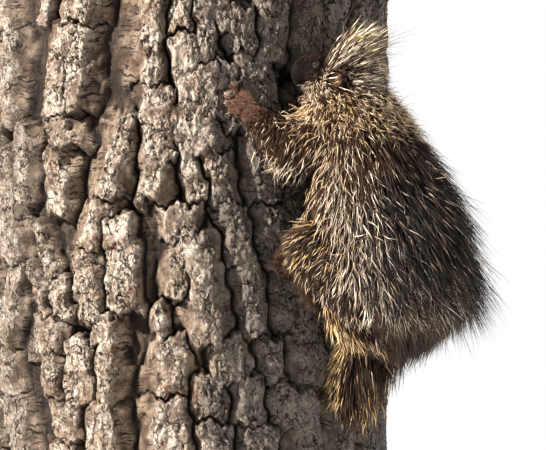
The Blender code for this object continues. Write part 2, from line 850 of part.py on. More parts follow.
def build_foreleg(nodes, name, side, trunk_cutter):
    """Upper arm, forearm and paw, parted at the elbow and the wrist."""
    places = placed(FORELIMB, FORE_MIDDLE, side)
    arm = flesh("arm", [beads(grown(places, LIMB_CORE), outward)], 0.004, 5, 240)
    cut(arm, trunk_cutter, keep_cutter=True)
    cut(arm, swollen(nodes["torso"]))
    cut(arm, swollen(nodes["neck"]))
    upper, forearm = parted(arm, places[ELBOW][0], places[ELBOW + 1][0] - places[ELBOW - 1][0])
    along = places[-1][0] - places[-2][0]
    wrist = places[-1][0] - along * 0.35
    sliced(forearm, wrist, along)
    paw = flesh("forepaw", [beads(placed(FOREPAW, FORE_MIDDLE, side), outward)], 0.003, 4, 85)
    build_digits(paw, FORE_DIGITS, FORE_MIDDLE, side)
    cut(paw, trunk_cutter, keep_cutter=True)
    sliced(paw, wrist, -along)
    nodes[f"upper_arm_{name}"] = upper
    nodes[f"forearm_{name}"] = forearm
    nodes[f"forepaw_{name}"] = paw


def build_hind_leg(nodes, name, side, trunk_cutter):
    """Thigh, shank and paw, each cut clear of the one above it."""
    torso_cutter = swollen(nodes["torso"])
    thigh_places = grown(placed(THIGH, HIND_MIDDLE, side), LIMB_CORE)
    thigh = flesh("thigh", [beads(thigh_places, outward)], 0.005, 5, 170)
    shank = flesh("shank", [beads(placed(SHANK, HIND_MIDDLE, side), outward)], 0.004, 5, 110)
    paw = flesh("hindpaw", [beads(placed(HINDPAW, HIND_MIDDLE, side), outward)], 0.003, 4, 90)
    build_digits(paw, HIND_DIGITS, HIND_MIDDLE, side)
    for piece in (thigh, shank, paw):
        cut(piece, trunk_cutter, keep_cutter=True)
        cut(piece, torso_cutter, keep_cutter=True)
    cut(shank, swollen(thigh))
    cut(paw, swollen(shank))
    cut(paw, swollen(thigh))
    remove(torso_cutter)
    nodes[f"thigh_{name}"] = thigh
    nodes[f"shank_{name}"] = shank
    nodes[f"hindpaw_{name}"] = paw


def build_flesh(nodes):
    """Every bare node of the body, with the gap between neighbours."""
    trunk_cutter = swollen(nodes["perch_trunk"])
    build_head(nodes)
    build_body(nodes, trunk_cutter)
    for name, side in SIDES.items():
        cut(nodes[f"ear_{name}"], swollen(nodes["neck"]))
        build_foreleg(nodes, name, side, trunk_cutter)
        build_hind_leg(nodes, name, side, trunk_cutter)
    remove(trunk_cutter)
    for name, node in nodes.items():
        node.name = name


# Coat


def strand(root, normal, flow, form, reach=1.0, raised=0.0, spare=0.0):
    """Points and faces of one tapered lock or quill, rooted below the surface.

    It leaves the surface at form's lift and bends over towards the flow. reach scales its length, raised
    adds to its lift, and spare makes it thicker all round, to test its clearance.
    """
    side = flow.cross(normal).normalized()
    ahead = normal.cross(side)
    length = form["length"] * reach
    lift = math.radians(form["lift"] + raised)
    drop = math.radians(form["bend"])
    place = root.copy()
    points = []
    last = 0.0
    centres = []
    for share in form["rings"] + (1.0,):
        angle = lift - drop * (share + last) / 2
        heading = (ahead * math.cos(angle) + normal * math.sin(angle)).normalized()
        place = place + heading * length * (share - last)
        centres.append((share, place, heading))
        last = share
    first = ahead * math.cos(lift) + normal * math.sin(lift)
    centres.insert(0, (0.0, root - first * form["sink"], first))
    for share, centre, heading in centres[:-1]:
        swell = form["taper"](share)
        half = side * (form["width"] * swell + spare) / 2
        third = heading.cross(side) * (form["thickness"] * swell + spare) / 3
        points += [centre - half - third, centre + half - third, centre + third * 2]
    points.append(centres[-1][1] + centres[-1][2] * spare)
    rings = len(centres) - 1
    faces = [[2, 1, 0]]
    for ring in range(rings - 1):
        for k in range(3):
            a, b = ring * 3 + k, ring * 3 + (k + 1) % 3
            faces.append([a, b, b + 3])
            faces.append([a, b + 3, a + 3])
    last_ring = (rings - 1) * 3
    for k in range(3):
        faces.append([last_ring + k, last_ring + (k + 1) % 3, rings * 3])
    return points, faces


# Ways in which a strand is tried when it would cross a neighbour: added lift, and share of its length
TRIALS = ((0, 1), (8, 1), (16, 0.95), (26, 0.85), (36, 0.7), (10, 0.6), (30, 0.5))


def lock_taper(share):
    return 0.35 + 2.6 * share - 2.6 * share * share


def quill_taper(share):
    return 1.0 - 0.35 * share


def lock(length, width, lift, bend, thickness=0.0045):
    return {
        "length": length, "width": width, "thickness": thickness, "lift": lift, "bend": bend, "sink": 0.006,
        "rings": (0.4, 0.75), "taper": lock_taper,
    }


def quill(length, lift, bend=12.0, width=0.0026):
    return {
        "length": length, "width": width, "thickness": width, "lift": lift, "bend": bend, "sink": 0.005,
        "rings": (0.6,), "taper": quill_taper,
    }


def spread(shape, draw, tries, spacing):
    """Random places on a surface, each with its normal, that keep spacing(place) from one another."""
    shape.data.calc_loop_triangles()
    corners = [vertex.co for vertex in shape.data.vertices]
    triangles = []
    total = 0.0
    for triangle in shape.data.loop_triangles:
        total += triangle.area
        triangles.append((total, triangle))
    taken = []
    found = []
    pick = 0
    for area in sorted(draw.uniform(0, total) for _ in range(tries)):
        while triangles[pick][0] < area:
            pick += 1
        triangle = triangles[pick][1]
        a, b, c = (corners[i] for i in triangle.vertices)
        u, v = draw.random(), draw.random()
        if u + v > 1:
            u, v = 1 - u, 1 - v
        found.append((a + (b - a) * u + (c - a) * v, Vector(triangle.normal)))
    draw.shuffle(found)
    for place, normal in found:
        apart = spacing(place, normal)
        if apart and all((place - other).length > apart for other, _ in taken):
            taken.append((place, normal))
    return taken


def dress(node, strands, nodes, draw):
    """Joins strands to a node. One that would cross another is raised, then shortened, then left out."""
    trees = [tree_of(other) for other in nodes.values() if other is not node]
    pieces = []
    for root, normal, flow, form in strands:
        flow = flow - normal * flow.dot(normal)
        if flow.length < 1e-4:
            continue
        flow.normalize()
        reach = draw.uniform(0.88, 1.1)
        sway = draw.uniform(-0.16, 0.16)
        flow = (flow + flow.cross(normal) * sway).normalized()
        for raised, scale in TRIALS:
            points, faces = strand(root, normal, flow, form, reach * scale, raised, 2 * GAP)
            tested = BVHTree.FromPolygons(points, faces)
            if not any(tested.overlap(tree) for tree in trees):
                piece = strand(root, normal, flow, form, reach * scale, raised)
                pieces.append(new_object("strand", *piece))
                break
    return join(node, pieces)


COAT_CENTRE = (50.5, 0.07, 0.27)


def place_strands(node, draw, spacing, flow, form, tries=4000):
    """Strands spread over a node. spacing, flow and form are functions of a place and its normal."""
    return [
        (place, normal, flow(place, normal), form(place, normal))
        for place, normal in spread(node, draw, tries, spacing)
    ]


def coat_torso(nodes, draw):
    """Guard hair in locks that spreads from the neck, hangs down the body and stands out at the rump."""
    centre = by_hips(*COAT_CENTRE)

    def flow(place, normal):
        low = smooth_step(0.12, -0.06, place.z - HIP_HEIGHT)
        return DOWN * (0.7 - 0.4 * low) + (place - centre).normalized() + outward(place) * 0.6 * low

    def guard_hair(place, normal):
        behind = smooth_step(0.1, 0.8, normal.dot(outward(place)))
        low = smooth_step(0.20, -0.02, place.z - HIP_HEIGHT)
        under = smooth_step(-0.25, -0.75, normal.z)
        length = (0.050 + 0.022 * behind + 0.020 * behind * low) * (1 - 0.5 * under)
        return lock(length, 0.021 + 0.005 * low, 27 + 8 * behind, 18)

    def spine(place, normal):
        return quill(0.058, 42)

    def facing_out(apart):
        return lambda place, normal: apart if normal.dot(outward(place)) > -0.25 else 0

    torso = nodes["torso"]
    strands = place_strands(torso, draw, facing_out(0.0325), flow, guard_hair)
    strands += place_strands(torso, draw, facing_out(0.056), flow, spine)
    dress(torso, strands, nodes, draw)


def coat_neck(nodes, draw):
    """Short quills that stand out all round the neck, and locks over the join with the torso."""
    centre = on_head(0.020, 0, -0.004)
    low = by_hips(*NECK_PLACE).z + 0.027

    def flow(place, normal):
        return (place - centre).normalized() + DOWN * 0.15

    def lock_apart(place, normal):
        return 0.019 if place.z < low else 0

    def neck_lock(place, normal):
        return lock(0.048, 0.017, 34, 26, 0.004)

    def quill_apart(place, normal):
        return 0.0170

    def neck_quill(place, normal):
        return quill(0.040, 50, 20)

    neck = nodes["neck"]
    strands = place_strands(neck, draw, lock_apart, flow, neck_lock)
    strands += place_strands(neck, draw, quill_apart, flow, neck_quill)
    dress(neck, strands, nodes, draw)


def coat_head(nodes, draw):
    """A crest of long quills from the crown and behind the ears, and short ones on the cheeks."""
    inverse = HEAD_TURN.to_3x3().transposed()
    ears = [on_head(EAR_PLACE[0], side * EAR_PLACE[1], EAR_PLACE[2]) for side in SIDES.values()]

    def local(place):
        return inverse @ (place - HEAD_ORIGIN)

    def crest_apart(place, normal):
        x, y, z = local(place)
        ear = min((place - centre).length for centre in ears)
        return 0.0137 if x < 0.022 and z > -0.012 and ear > 0.016 else 0

    def crest_flow(place, normal):
        return (place - on_head(0.036, 0, -0.020)).normalized()

    def crest_quill(place, normal):
        return quill(0.076, 48, 14)

    def cheek_apart(place, normal):
        x, y, z = local(place)
        return 0.014 if x < 0.042 and z < -0.010 and abs(y) > 0.008 else 0

    def cheek_flow(place, normal):
        return head_direction(0.35, math.copysign(0.3, local(place).y), -1)

    def cheek_quill(place, normal):
        return quill(0.024, 30, 14)

    head = nodes["head"]
    strands = place_strands(head, draw, crest_apart, crest_flow, crest_quill)
    strands += place_strands(head, draw, cheek_apart, cheek_flow, cheek_quill)
    dress(head, strands, nodes, draw)


def coat_tail(nodes, draw):
    """Bristly locks down the tail, with quills along its sides."""

    def flow(place, normal):
        return DOWN + leftward(place) * normal.dot(leftward(place)) * 0.7

    def lock_apart(place, normal):
        return 0.0235 if normal.dot(outward(place)) > -0.45 else 0

    def tail_lock(place, normal):
        return lock(0.044, 0.015, 26, 14, 0.0035)

    def side_apart(place, normal):
        return 0.030 if abs(normal.dot(leftward(place))) > 0.5 else 0

    def side_quill(place, normal):
        return quill(0.050, 40)

    tail = nodes["tail"]
    strands = place_strands(tail, draw, lock_apart, flow, tail_lock)
    strands += place_strands(tail, draw, side_apart, flow, side_quill)
    dress(tail, strands, nodes, draw)


def coat_limbs(nodes, name, side, draw):
    """Long hair that hangs from the arms and thighs, and shorter hair on the shanks."""
    fore = placed(FORELIMB, FORE_MIDDLE, side)
    along_arm = (fore[-1][0] - fore[ELBOW][0]).normalized()
    thigh_centre = by_hips(HIND_MIDDLE + side * 8, 0.16, 0.07)

    def arm_flow(place, normal):
        return DOWN + along_arm * 0.45

    def arm_hair(place, normal):
        below = smooth_step(0.3, -0.5, normal.z)
        return lock(0.030 + 0.032 * below, 0.014, 24, 12, 0.0035)

    def thigh_flow(place, normal):
        return (place - thigh_centre).normalized() + DOWN * 0.5

    def thigh_hair(place, normal):
        return lock(0.046, 0.017, 27, 18, 0.004)

    def shank_flow(place, normal):
        return DOWN

    def shank_hair(place, normal):
        return lock(0.044, 0.014, 20, 14, 0.0035)

    for part, apart, flow, form in (
        (f"upper_arm_{name}", 0.018, arm_flow, arm_hair),
        (f"forearm_{name}", 0.020, arm_flow, arm_hair),
        (f"thigh_{name}", 0.0205, thigh_flow, thigh_hair),
        (f"shank_{name}", 0.018, shank_flow, shank_hair),
    ):
        strands = place_strands(nodes[part], draw, lambda place, normal: apart, flow, form)
        dress(nodes[part], strands, nodes, draw)


def build_coat(nodes):
    """Dresses every node, those first whose coat lies over the next one's."""
    draw = random.Random(5)
    for name, side in SIDES.items():
        coat_limbs(nodes, name, side, draw)
    for coat in (coat_head, coat_neck, coat_tail, coat_torso):
        coat(nodes, draw)


# Finishes of the nodes, by the start of their names: colour and roughness

FINISHES = {
    "torso": ((0.060, 0.045, 0.038), 0.7),
    "neck": ((0.20, 0.15, 0.10), 0.7),
    "head": ((0.050, 0.034, 0.026), 0.7),
    "tail": ((0.12, 0.085, 0.050), 0.7),
    "ear": ((0.10, 0.065, 0.040), 0.7),
    "eye": ((0.010, 0.008, 0.006), 0.1),
    "upper_arm": ((0.065, 0.045, 0.034), 0.7),
    "forearm": ((0.065, 0.045, 0.034), 0.7),
    "forepaw": ((0.16, 0.09, 0.05), 0.7),
    "thigh": ((0.15, 0.105, 0.060), 0.7),
    "shank": ((0.065, 0.045, 0.034), 0.7),
    "hindpaw": ((0.16, 0.09, 0.05), 0.7),
    "perch": ((0.33, 0.27, 0.22), 0.9),
    "stand": ((0.03, 0.03, 0.03), 0.4),
}


def paint(shape):
    """Gives an object the one material of its finish."""
    color, roughness = next(value for start, value in FINISHES.items() if shape.name.startswith(start))
    material = bpy.data.materials.new(shape.name)
    material.use_nodes = True
    shader = material.node_tree.nodes["Principled BSDF"]
    shader.inputs["Base Color"].default_value = (*color, 1)
    shader.inputs["Roughness"].default_value = roughness
    shape.data.materials.clear()
    shape.data.materials.append(material)


def main():
    for old in list(bpy.data.objects):
        bpy.data.objects.remove(old)
    nodes = {"perch_trunk": build_trunk()}
    build_stand()
    build_flesh(nodes)
    build_coat(nodes)
    for node in nodes.values():
        tidied(node)
    for shape in bpy.data.objects:
        paint(shape)


main()
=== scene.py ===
"""The looks of a porcupine that climbs a cut length of furrowed tree trunk on a display stand.

Metres, +Z up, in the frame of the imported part. The trunk stands on the Z axis. A place on it is given by
its angle round the axis in degrees, counted from +X towards -Y, by how far out from the bark it is and
by its height. The animal's belly faces the trunk, and its left side is the one at larger angles. One
skin carries the whole animal, and a coat of thin solid hairs and quills grows from it along its lie.
"""

import itertools
import math
import random

import bmesh
import bpy
import numpy as np
from mathutils import Matrix, Vector
from mathutils.bvhtree import BVHTree


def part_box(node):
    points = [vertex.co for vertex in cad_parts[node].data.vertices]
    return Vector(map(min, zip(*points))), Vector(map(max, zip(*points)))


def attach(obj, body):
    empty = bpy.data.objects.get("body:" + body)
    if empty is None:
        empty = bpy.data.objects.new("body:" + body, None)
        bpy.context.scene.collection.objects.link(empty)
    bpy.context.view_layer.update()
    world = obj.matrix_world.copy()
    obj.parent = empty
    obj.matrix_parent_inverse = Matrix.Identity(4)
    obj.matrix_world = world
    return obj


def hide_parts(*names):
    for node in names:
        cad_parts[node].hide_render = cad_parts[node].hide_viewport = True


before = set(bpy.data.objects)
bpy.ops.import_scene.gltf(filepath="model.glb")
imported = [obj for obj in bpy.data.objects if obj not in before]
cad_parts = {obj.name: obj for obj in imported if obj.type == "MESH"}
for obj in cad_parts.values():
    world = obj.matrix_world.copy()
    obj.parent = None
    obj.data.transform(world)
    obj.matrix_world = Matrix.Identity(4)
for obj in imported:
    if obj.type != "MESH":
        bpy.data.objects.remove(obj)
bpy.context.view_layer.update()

# Stand and trunk
BASE_RADIUS = 0.42
BASE_THICKNESS = 0.028
BASE_EDGE = 0.004
ROD_RADIUS = 0.026
ROD_LENGTH = 0.052
ROD_SPREAD = 0.15
TRUNK_RADIUS = 0.34
TRUNK_LENGTH = 0.80
TRUNK_FOOT = BASE_THICKNESS + ROD_LENGTH
BARK_DEPTH = 0.026
BARK_CLEARANCE = 0.009
BARK_FALL = 0.030
BARK_WALL = 0.017
BARK_END_WALL = 2.6
BARK_DOME = 0.0018
# Ridges of bark on the side with the animal: angle at the top and at the foot of each, height of its top
# and of its foot, half the width of its crest and how far that stands out, in degrees and millimetres.
NEAR_RIDGES = (
    (22, 22, 640, 305, 24, 4),
    (26, 21, 290, 80, 24, 7),
    (27, 26, 875, 655, 24, 6),
    (40, 37, 200, 80, 19, 7),
    (40, 42, 870, 750, 24, 5),
    (41, 44, 735, 375, 24, 4),
    (44, 42, 355, 205, 12, 8),
    (50, 52, 865, 730, 17, 5),
    (53, 52, 210, 80, 24, 6),
    (54, 49, 360, 220, 24, 6),
    (55, 55, 700, 440, 24, 4),
    (60, 58, 220, 145, 19, 4),
    (62, 58, 420, 310, 9, 7),
    (62, 64, 865, 745, 24, 4),
    (63, 62, 510, 425, 22, 4),
    (64, 63, 295, 230, 14, 5),
    (67, 67, 155, 95, 24, 6),
    (67, 65, 745, 665, 18, 3),
    (67, 65, 635, 520, 24, 4),
    (71, 70, 235, 160, 21, 6),
    (71, 69, 420, 305, 14, 9),
    (72, 71, 755, 665, 15, 3),
    (73, 72, 830, 760, 15, 7),
    (76, 72, 510, 420, 15, 9),
    (77, 78, 745, 650, 13, 3),
    (78, 75, 300, 225, 24, 9),
    (80, 77, 860, 795, 13, 4),
    (81, 80, 160, 95, 24, 7),
    (81, 77, 595, 510, 16, 7),
    (83, 81, 235, 170, 19, 7),
    (83, 83, 740, 595, 16, 9),
    (83, 83, 860, 745, 15, 5),
    (86, 82, 470, 285, 18, 15),
    (88, 87, 510, 420, 14, 8),
    (89, 86, 785, 600, 18, 9),
    (89, 90, 860, 795, 14, 6),
    (90, 91, 450, 365, 11, 10),
    (91, 85, 675, 520, 11, 8),
    (92, 93, 300, 210, 21, 9),
    (93, 91, 510, 455, 14, 9),
    (93, 92, 200, 100, 24, 10),
    (95, 94, 700, 585, 16, 12),
    (96, 98, 650, 520, 15, 12),
    (96, 95, 350, 290, 6, 6),
    (97, 98, 860, 710, 13, 12),
    (98, 99, 705, 650, 10, 10),
    (104, 110, 655, 525, 14, 12),
    (108, 106, 495, 340, 24, 3),
    (111, 111, 330, 285, 18, 9),
    (111, 111, 285, 190, 11, 8),
    (112, 117, 515, 440, 15, 11),
    (112, 112, 190, 95, 21, 8),
    (117, 115, 435, 325, 17, 13),
    (118, 120, 865, 810, 24, 10),
    (119, 121, 800, 665, 14, 9),
    (120, 119, 295, 195, 24, 4),
    (124, 128, 805, 655, 17, 10),
    (124, 122, 190, 130, 24, 7),
    (125, 124, 125, 80, 24, 7),
    (126, 124, 390, 330, 15, 8),
    (127, 123, 650, 610, 24, 9),
    (127, 126, 600, 500, 17, 9),
    (129, 132, 865, 810, 11, 4),
    (130, 130, 330, 275, 23, 9),
    (130, 128, 275, 200, 13, 7),
    (134, 129, 480, 395, 12, 6),
    (137, 131, 420, 335, 10, 5),
    (141, 142, 645, 520, 15, 5),
    (143, 152, 410, 280, 21, 7),
    (147, 151, 795, 640, 24, 8),
    (147, 141, 190, 95, 24, 6),
    (151, 145, 605, 415, 24, 9),
    (152, 151, 875, 800, 24, 8),
    (152, 150, 270, 200, 24, 4),
    (23, 23, 715, 635, 20, 6),
    (27, 27, 445, 365, 20, 6),
    (57, 57, 450, 365, 20, 6),
    (74, 74, 715, 635, 16, 6),
)
FAR_COLUMNS = 18
FAR_START = 159.0
FAR_END = 375.0

# Animal
HIP_HEIGHT = 0.41
HEAD_CENTRE = (52.0, 0.080, 0.3065)
HEAD_AIM = (-0.945, 0.255, 0.205)
EYE_RADIUS = 0.0062
EAR_HEIGHT = 0.030
EAR_WIDTH = 0.024
FORE_MIDDLE = 48.0
HIND_MIDDLE = 42.0
SIDES = {"left": 1, "right": -1}

# Stations along the body, tail and limbs: angle, out from the bark, up from the hips, half width and
# half depth. Limbs give the turn away from the animal's middle in place of the angle.
BODY_STATIONS = (
    (40.0, 0.086, -0.060, 0.050, 0.044),
    (40.6, 0.102, -0.036, 0.091, 0.081),
    (42.0, 0.114, 0.000, 0.119, 0.104),
    (42.6, 0.110, 0.060, 0.115, 0.098),
    (43.8, 0.101, 0.118, 0.102, 0.087),
    (46.0, 0.093, 0.172, 0.087, 0.075),
    (48.4, 0.087, 0.216, 0.073, 0.065),
    (49.8, 0.083, 0.252, 0.057, 0.054),
    (50.6, 0.081, 0.280, 0.040, 0.042),
    (51.2, 0.080, 0.298, 0.028, 0.030),
)
TAIL_STATIONS = (
    (38.0, 0.092, -0.070, 0.046, 0.040),
    (37.6, 0.066, -0.104, 0.043, 0.036),
    (38.4, 0.047, -0.142, 0.037, 0.031),
    (39.8, 0.037, -0.180, 0.030, 0.025),
    (41.2, 0.031, -0.212, 0.021, 0.018),
    (42.0, 0.029, -0.232, 0.011, 0.010),
)
FORELIMB = (
    (4.0, 0.085, 0.224, 0.040, 0.040),
    (8.0, 0.065, 0.210, 0.035, 0.034),
    (13.4, 0.040, 0.206, 0.027, 0.026),
    (17.0, 0.031, 0.221, 0.022, 0.020),
    (20.0, 0.026, 0.234, 0.019, 0.017),
    (23.0, 0.021, 0.247, 0.016, 0.014),
)
ELBOW = 2
FOREPAW = (
    (21.6, 0.022, 0.242, 0.016, 0.013),
    (24.4, 0.015, 0.258, 0.018, 0.011),
    (26.2, 0.012, 0.266, 0.018, 0.009),
)
THIGH = (
    (7.5, 0.118, -0.022, 0.062, 0.052),
    (12.0, 0.103, 0.006, 0.054, 0.047),
    (16.2, 0.079, 0.034, 0.040, 0.037),
)
SHANK = (
    (17.0, 0.072, 0.036, 0.034, 0.032),
    (14.2, 0.052, 0.000, 0.027, 0.025),
    (11.4, 0.032, -0.030, 0.021, 0.018),
)
HINDPAW = (
    (10.6, 0.026, -0.036, 0.018, 0.016),
    (13.6, 0.016, -0.014, 0.019, 0.013),
    (17.2, 0.011, 0.008, 0.020, 0.010),
)
# Digits: turn and height of the knuckle and of the tip. The claw goes on from there into the bark.
FORE_DIGITS = (
    (26.1, 0.279, 27.0, 0.289),
    (26.9, 0.271, 28.5, 0.277),
    (27.0, 0.262, 28.6, 0.264),
    (26.1, 0.253, 27.6, 0.251),
)
HIND_DIGITS = (
    (15.8, 0.018, 17.4, 0.030),
    (17.2, 0.014, 19.0, 0.025),
    (18.2, 0.008, 20.1, 0.017),
    (18.7, 0.000, 20.5, 0.006),
    (18.4, -0.009, 20.0, -0.006),
)
DIGIT_RADIUS = 0.0056
DIGIT_OUT = 0.0085
CLAW_LENGTH = 0.016
CLAW_RADIUS = 0.0026

# Skin of the head in its own frame: place along its axis, height of that place, half width and height.
HEAD_STATIONS = (
    (-0.034, 0.000, 0.026, 0.027),
    (-0.014, 0.001, 0.033, 0.034),
    (0.010, -0.001, 0.036, 0.036),
    (0.028, -0.002, 0.032, 0.034),
    (0.043, -0.003, 0.025, 0.030),
    (0.055, -0.003, 0.022, 0.027),
    (0.063, -0.002, 0.020, 0.024),
)
EYE_PLACE = (0.0375, 0.0275, 0.0125)
EAR_PLACE = (0.000, 0.036, -0.009)
NECK_START = 0.238
COAT_CENTRE = (50.5, 0.07, 0.27)

# Camera, at the photograph's viewing angle, for a frame of 546 by 450 pixels
FRAME_WIDTH = 546
CAMERA_PLACE = (0.15, -5.40, 0.48)
CAMERA_REACH = 5.20
METRES_PER_PIXEL = 0.00165
SENSOR = 36.0

DOWN = np.array((0.0, 0.0, -1.0))
# The coat ends inside this box.
COAT_LOW = np.array((-0.42, -0.506, 0.0))
COAT_HIGH = np.array((0.538, 0.42, 0.905))
PATCH = 0.003
FLOOR_RADIUS = 1.3


# Places and directions


def around(angle, out, height):
    """A point at an angle round the trunk, out from the bark, above the floor."""
    turn = math.radians(angle)
    radius = TRUNK_RADIUS + out
    return Vector((radius * math.cos(turn), -radius * math.sin(turn), height))


def by_hips(angle, out, up):
    """The same, with the height counted from the hips."""
    return around(angle, out, HIP_HEIGHT + up)


def placed(stations, middle=0.0, side=1):
    return [(by_hips(middle + side * turn, out, up), *widths) for turn, out, up, *widths in stations]


def outward(point):
    """The direction straight out from the trunk's axis."""
    return Vector((point.x, point.y, 0)).normalized()


def head_frame():
    """The head's own frame: forwards along the muzzle, to its left, and up through the crown."""
    forward = Vector(HEAD_AIM).normalized()
    left = Vector((0, 0, 1)).cross(forward).normalized()
    up = forward.cross(left)
    return Matrix((forward, left, up)).transposed(), by_hips(*HEAD_CENTRE)


HEAD_TURN, HEAD_ORIGIN = head_frame()


def on_head(forward, left, up):
    return HEAD_ORIGIN + HEAD_TURN @ Vector((forward, left, up))


def head_direction(forward, left, up):
    return HEAD_TURN @ Vector((forward, left, up))


def unit(vectors):
    return vectors / np.maximum(np.linalg.norm(vectors, axis=-1, keepdims=True), 1e-9)


def dot(a, b):
    return np.sum(a * b, axis=-1)


def outwards(points):
    """The directions straight out from the trunk's axis, for an array of points."""
    flat = points.copy()
    flat[..., 2] = 0
    return unit(flat)


def leftwards(points):
    """The animal's left along the bark, for an array of points."""
    away = outwards(points)
    return np.stack((away[..., 1], -away[..., 0], np.zeros(away.shape[:-1])), axis=-1)


def in_head(points):
    """Points in the head's own frame."""
    return (points - np.array(HEAD_ORIGIN)) @ np.array(HEAD_TURN)


def smooth_step(low, high, value):
    share = np.clip((value - low) / (high - low), 0, 1)
    return share * share * (3 - 2 * share)


# Noise


def chance_at(cells, seed):
    """A repeatable number from 0 to 1 for each cell of a lattice."""
    mixed = cells.astype(np.int64) @ np.array((73856093, 19349663, 83492791)) + seed * 2654435761
    mixed = (mixed ^ (mixed >> 15)) * 2246822519 & 0xFFFFFFFF
    mixed = (mixed ^ (mixed >> 13)) * 3266489917 & 0xFFFFFFFF
    return ((mixed ^ (mixed >> 16)) & 0xFFFF) / 65535.0


def noise(points, size, seed=0):
    """Smooth noise from -1 to 1 with features of this size, which is a number or three."""
    at = points / size
    base = np.floor(at)
    share = at - base
    share = share * share * (3 - 2 * share)
    total = 0
    for corner in itertools.product((0, 1), repeat=3):
        weight = np.prod(np.where(np.array(corner, bool), share, 1 - share), axis=-1)
        total = total + weight * chance_at(base + corner, seed)
    return total * 2 - 1


def rough(points, size, octaves, seed=0):
    """Noise with finer noise on it."""
    size = np.array(size)
    return sum(noise(points, size / 2**k, seed + k) / 2**k for k in range(octaves))


def cracked(points, size, seed=0):
    """How far each point is from the border of its cell, in cell sizes, and its cell's chance."""
    at = points / np.array(size)
    base = np.floor(at)
    first = np.full(at.shape[:-1], 9.0)
    second = first.copy()
    chance = np.zeros_like(first)
    for corner in itertools.product((-1, 0, 1), repeat=3):
        cell = base + corner
        centre = cell + np.stack([chance_at(cell, seed + k) for k in range(3)], axis=-1)
        distance = np.linalg.norm(at - centre, axis=-1)
        nearer = distance < first
        second = np.where(nearer, first, np.minimum(second, distance))
        chance = np.where(nearer, chance_at(cell, seed + 7), chance)
        first = np.minimum(first, distance)
    return second - first, chance


# Meshes


def new_object(name, points, faces, material=None):
    """A mesh object from its points and faces."""
    mesh = bpy.data.meshes.new(name)
    mesh.from_pydata([tuple(point) for point in points], [], faces)
    mesh.validate()
    mesh.update()
    return shown(name, mesh, material)


def shown(name, mesh, material=None):
    shape = bpy.data.objects.new(name, mesh)
    bpy.context.scene.collection.objects.link(shape)
    if material:
        mesh.materials.append(material)
    return shape


def settle(shape):
    """Leaves the object with the mesh that its modifiers make."""
    bpy.context.view_layer.update()
    graph = bpy.context.evaluated_depsgraph_get()
    mesh = bpy.data.meshes.new_from_object(shape.evaluated_get(graph))
    shape.modifiers.clear()
    shape.data = mesh
    return shape


def combine(shape, others, operation):
    """Joins closed shapes to a closed one, or cuts them away, and removes them."""
    for other in others:
        boolean = shape.modifiers.new("Boolean", "BOOLEAN")
        boolean.operation = operation
        boolean.solver = "MANIFOLD"
        boolean.object = other
    settle(shape)
    for other in others:
        bpy.data.objects.remove(other)
    return shape


def mesh_from_triangles(name, points, triangles):
    """A smooth mesh from arrays of points and triangles."""
    mesh = bpy.data.meshes.new(name)
    mesh.vertices.add(len(points))
    mesh.vertices.foreach_set("co", points.astype(np.float32).ravel())
    mesh.loops.add(triangles.size)
    mesh.loops.foreach_set("vertex_index", triangles.astype(np.int32).ravel())
    mesh.polygons.add(len(triangles))
    mesh.polygons.foreach_set("loop_start", np.arange(0, triangles.size, 3, dtype=np.int32))
    mesh.update(calc_edges=True)
    mesh.polygons.foreach_set("use_smooth", np.ones(len(triangles), bool))
    return mesh


def set_values(mesh, name, values):
    """Stores one number for each point of a mesh."""
    attribute = mesh.attributes.new(name, "FLOAT", "POINT")
    attribute.data.foreach_set("value", np.broadcast_to(values, (len(mesh.vertices),)).astype(np.float32))


def points_of(mesh):
    points = np.empty(len(mesh.vertices) * 3, np.float32)
    mesh.vertices.foreach_get("co", points)
    return points.reshape(-1, 3).astype(float)


def normals_of(mesh):
    normals = np.empty(len(mesh.vertices) * 3, np.float32)
    mesh.vertices.foreach_get("normal", normals)
    return normals.reshape(-1, 3).astype(float)


def triangles_of(mesh):
    mesh.calc_loop_triangles()
    triangles = np.empty(len(mesh.loop_triangles) * 3, np.int32)
    mesh.loop_triangles.foreach_get("vertices", triangles)
    return triangles.reshape(-1, 3)


def unit_ball(subdivisions):
    """Points and faces of a ball of radius 1."""
    work = bmesh.new()
    bmesh.ops.create_icosphere(work, subdivisions=subdivisions, radius=1)
    points = [vertex.co.copy() for vertex in work.verts]
    faces = [[vertex.index for vertex in face.verts] for face in work.faces]
    work.free()
    return points, faces


BALL = unit_ball(3)


def ellipsoid(centre, axes, ball=BALL):
    """Points and faces of an ellipsoid with these three half axes, given as vectors."""
    points, faces = ball
    return [centre + axes[0] * p.x + axes[1] * p.y + axes[2] * p.z for p in points], faces


def gather(shapes):
    """Several lots of points and faces as one."""
    points = []
    faces = []
    for some_points, some_faces in shapes:
        start = len(points)
        points += some_points
        faces += [[start + index for index in face] for face in some_faces]
    return points, faces


def spline(a, b, c, d, share):
    """A smooth value between b and c, for numbers or vectors."""
    square = share * share
    cube = square * share
    return (
        b * 2 + (c - a) * share + (a * 2 - b * 5 + c * 4 - d) * square + (b * 3 - a - c * 3 + d) * cube
    ) * 0.5


def between(stations, spacing=0.3):
    """Stations set close together, on a smooth line through the ones given, with the way it runs."""
    closer = []
    for i in range(len(stations) - 1):
        near = [stations[max(0, i - 1)], stations[i], stations[i + 1], stations[min(len(stations) - 1, i + 2)]]
        length = (near[2][0] - near[1][0]).length
        smallest = min(near[1][1], near[1][2], near[2][1], near[2][2])
        count = max(2, math.ceil(length / (smallest * spacing)))
        for step in range(count + (i == len(stations) - 2)):
            share = step / count
            centre, half_width, half_depth = (spline(*(place[k] for place in near), share) for k in range(3))
            along = (spline(*(p[0] for p in near), share + 0.01) - centre).normalized()
            closer.append((centre, half_width, half_depth, along))
    return closer


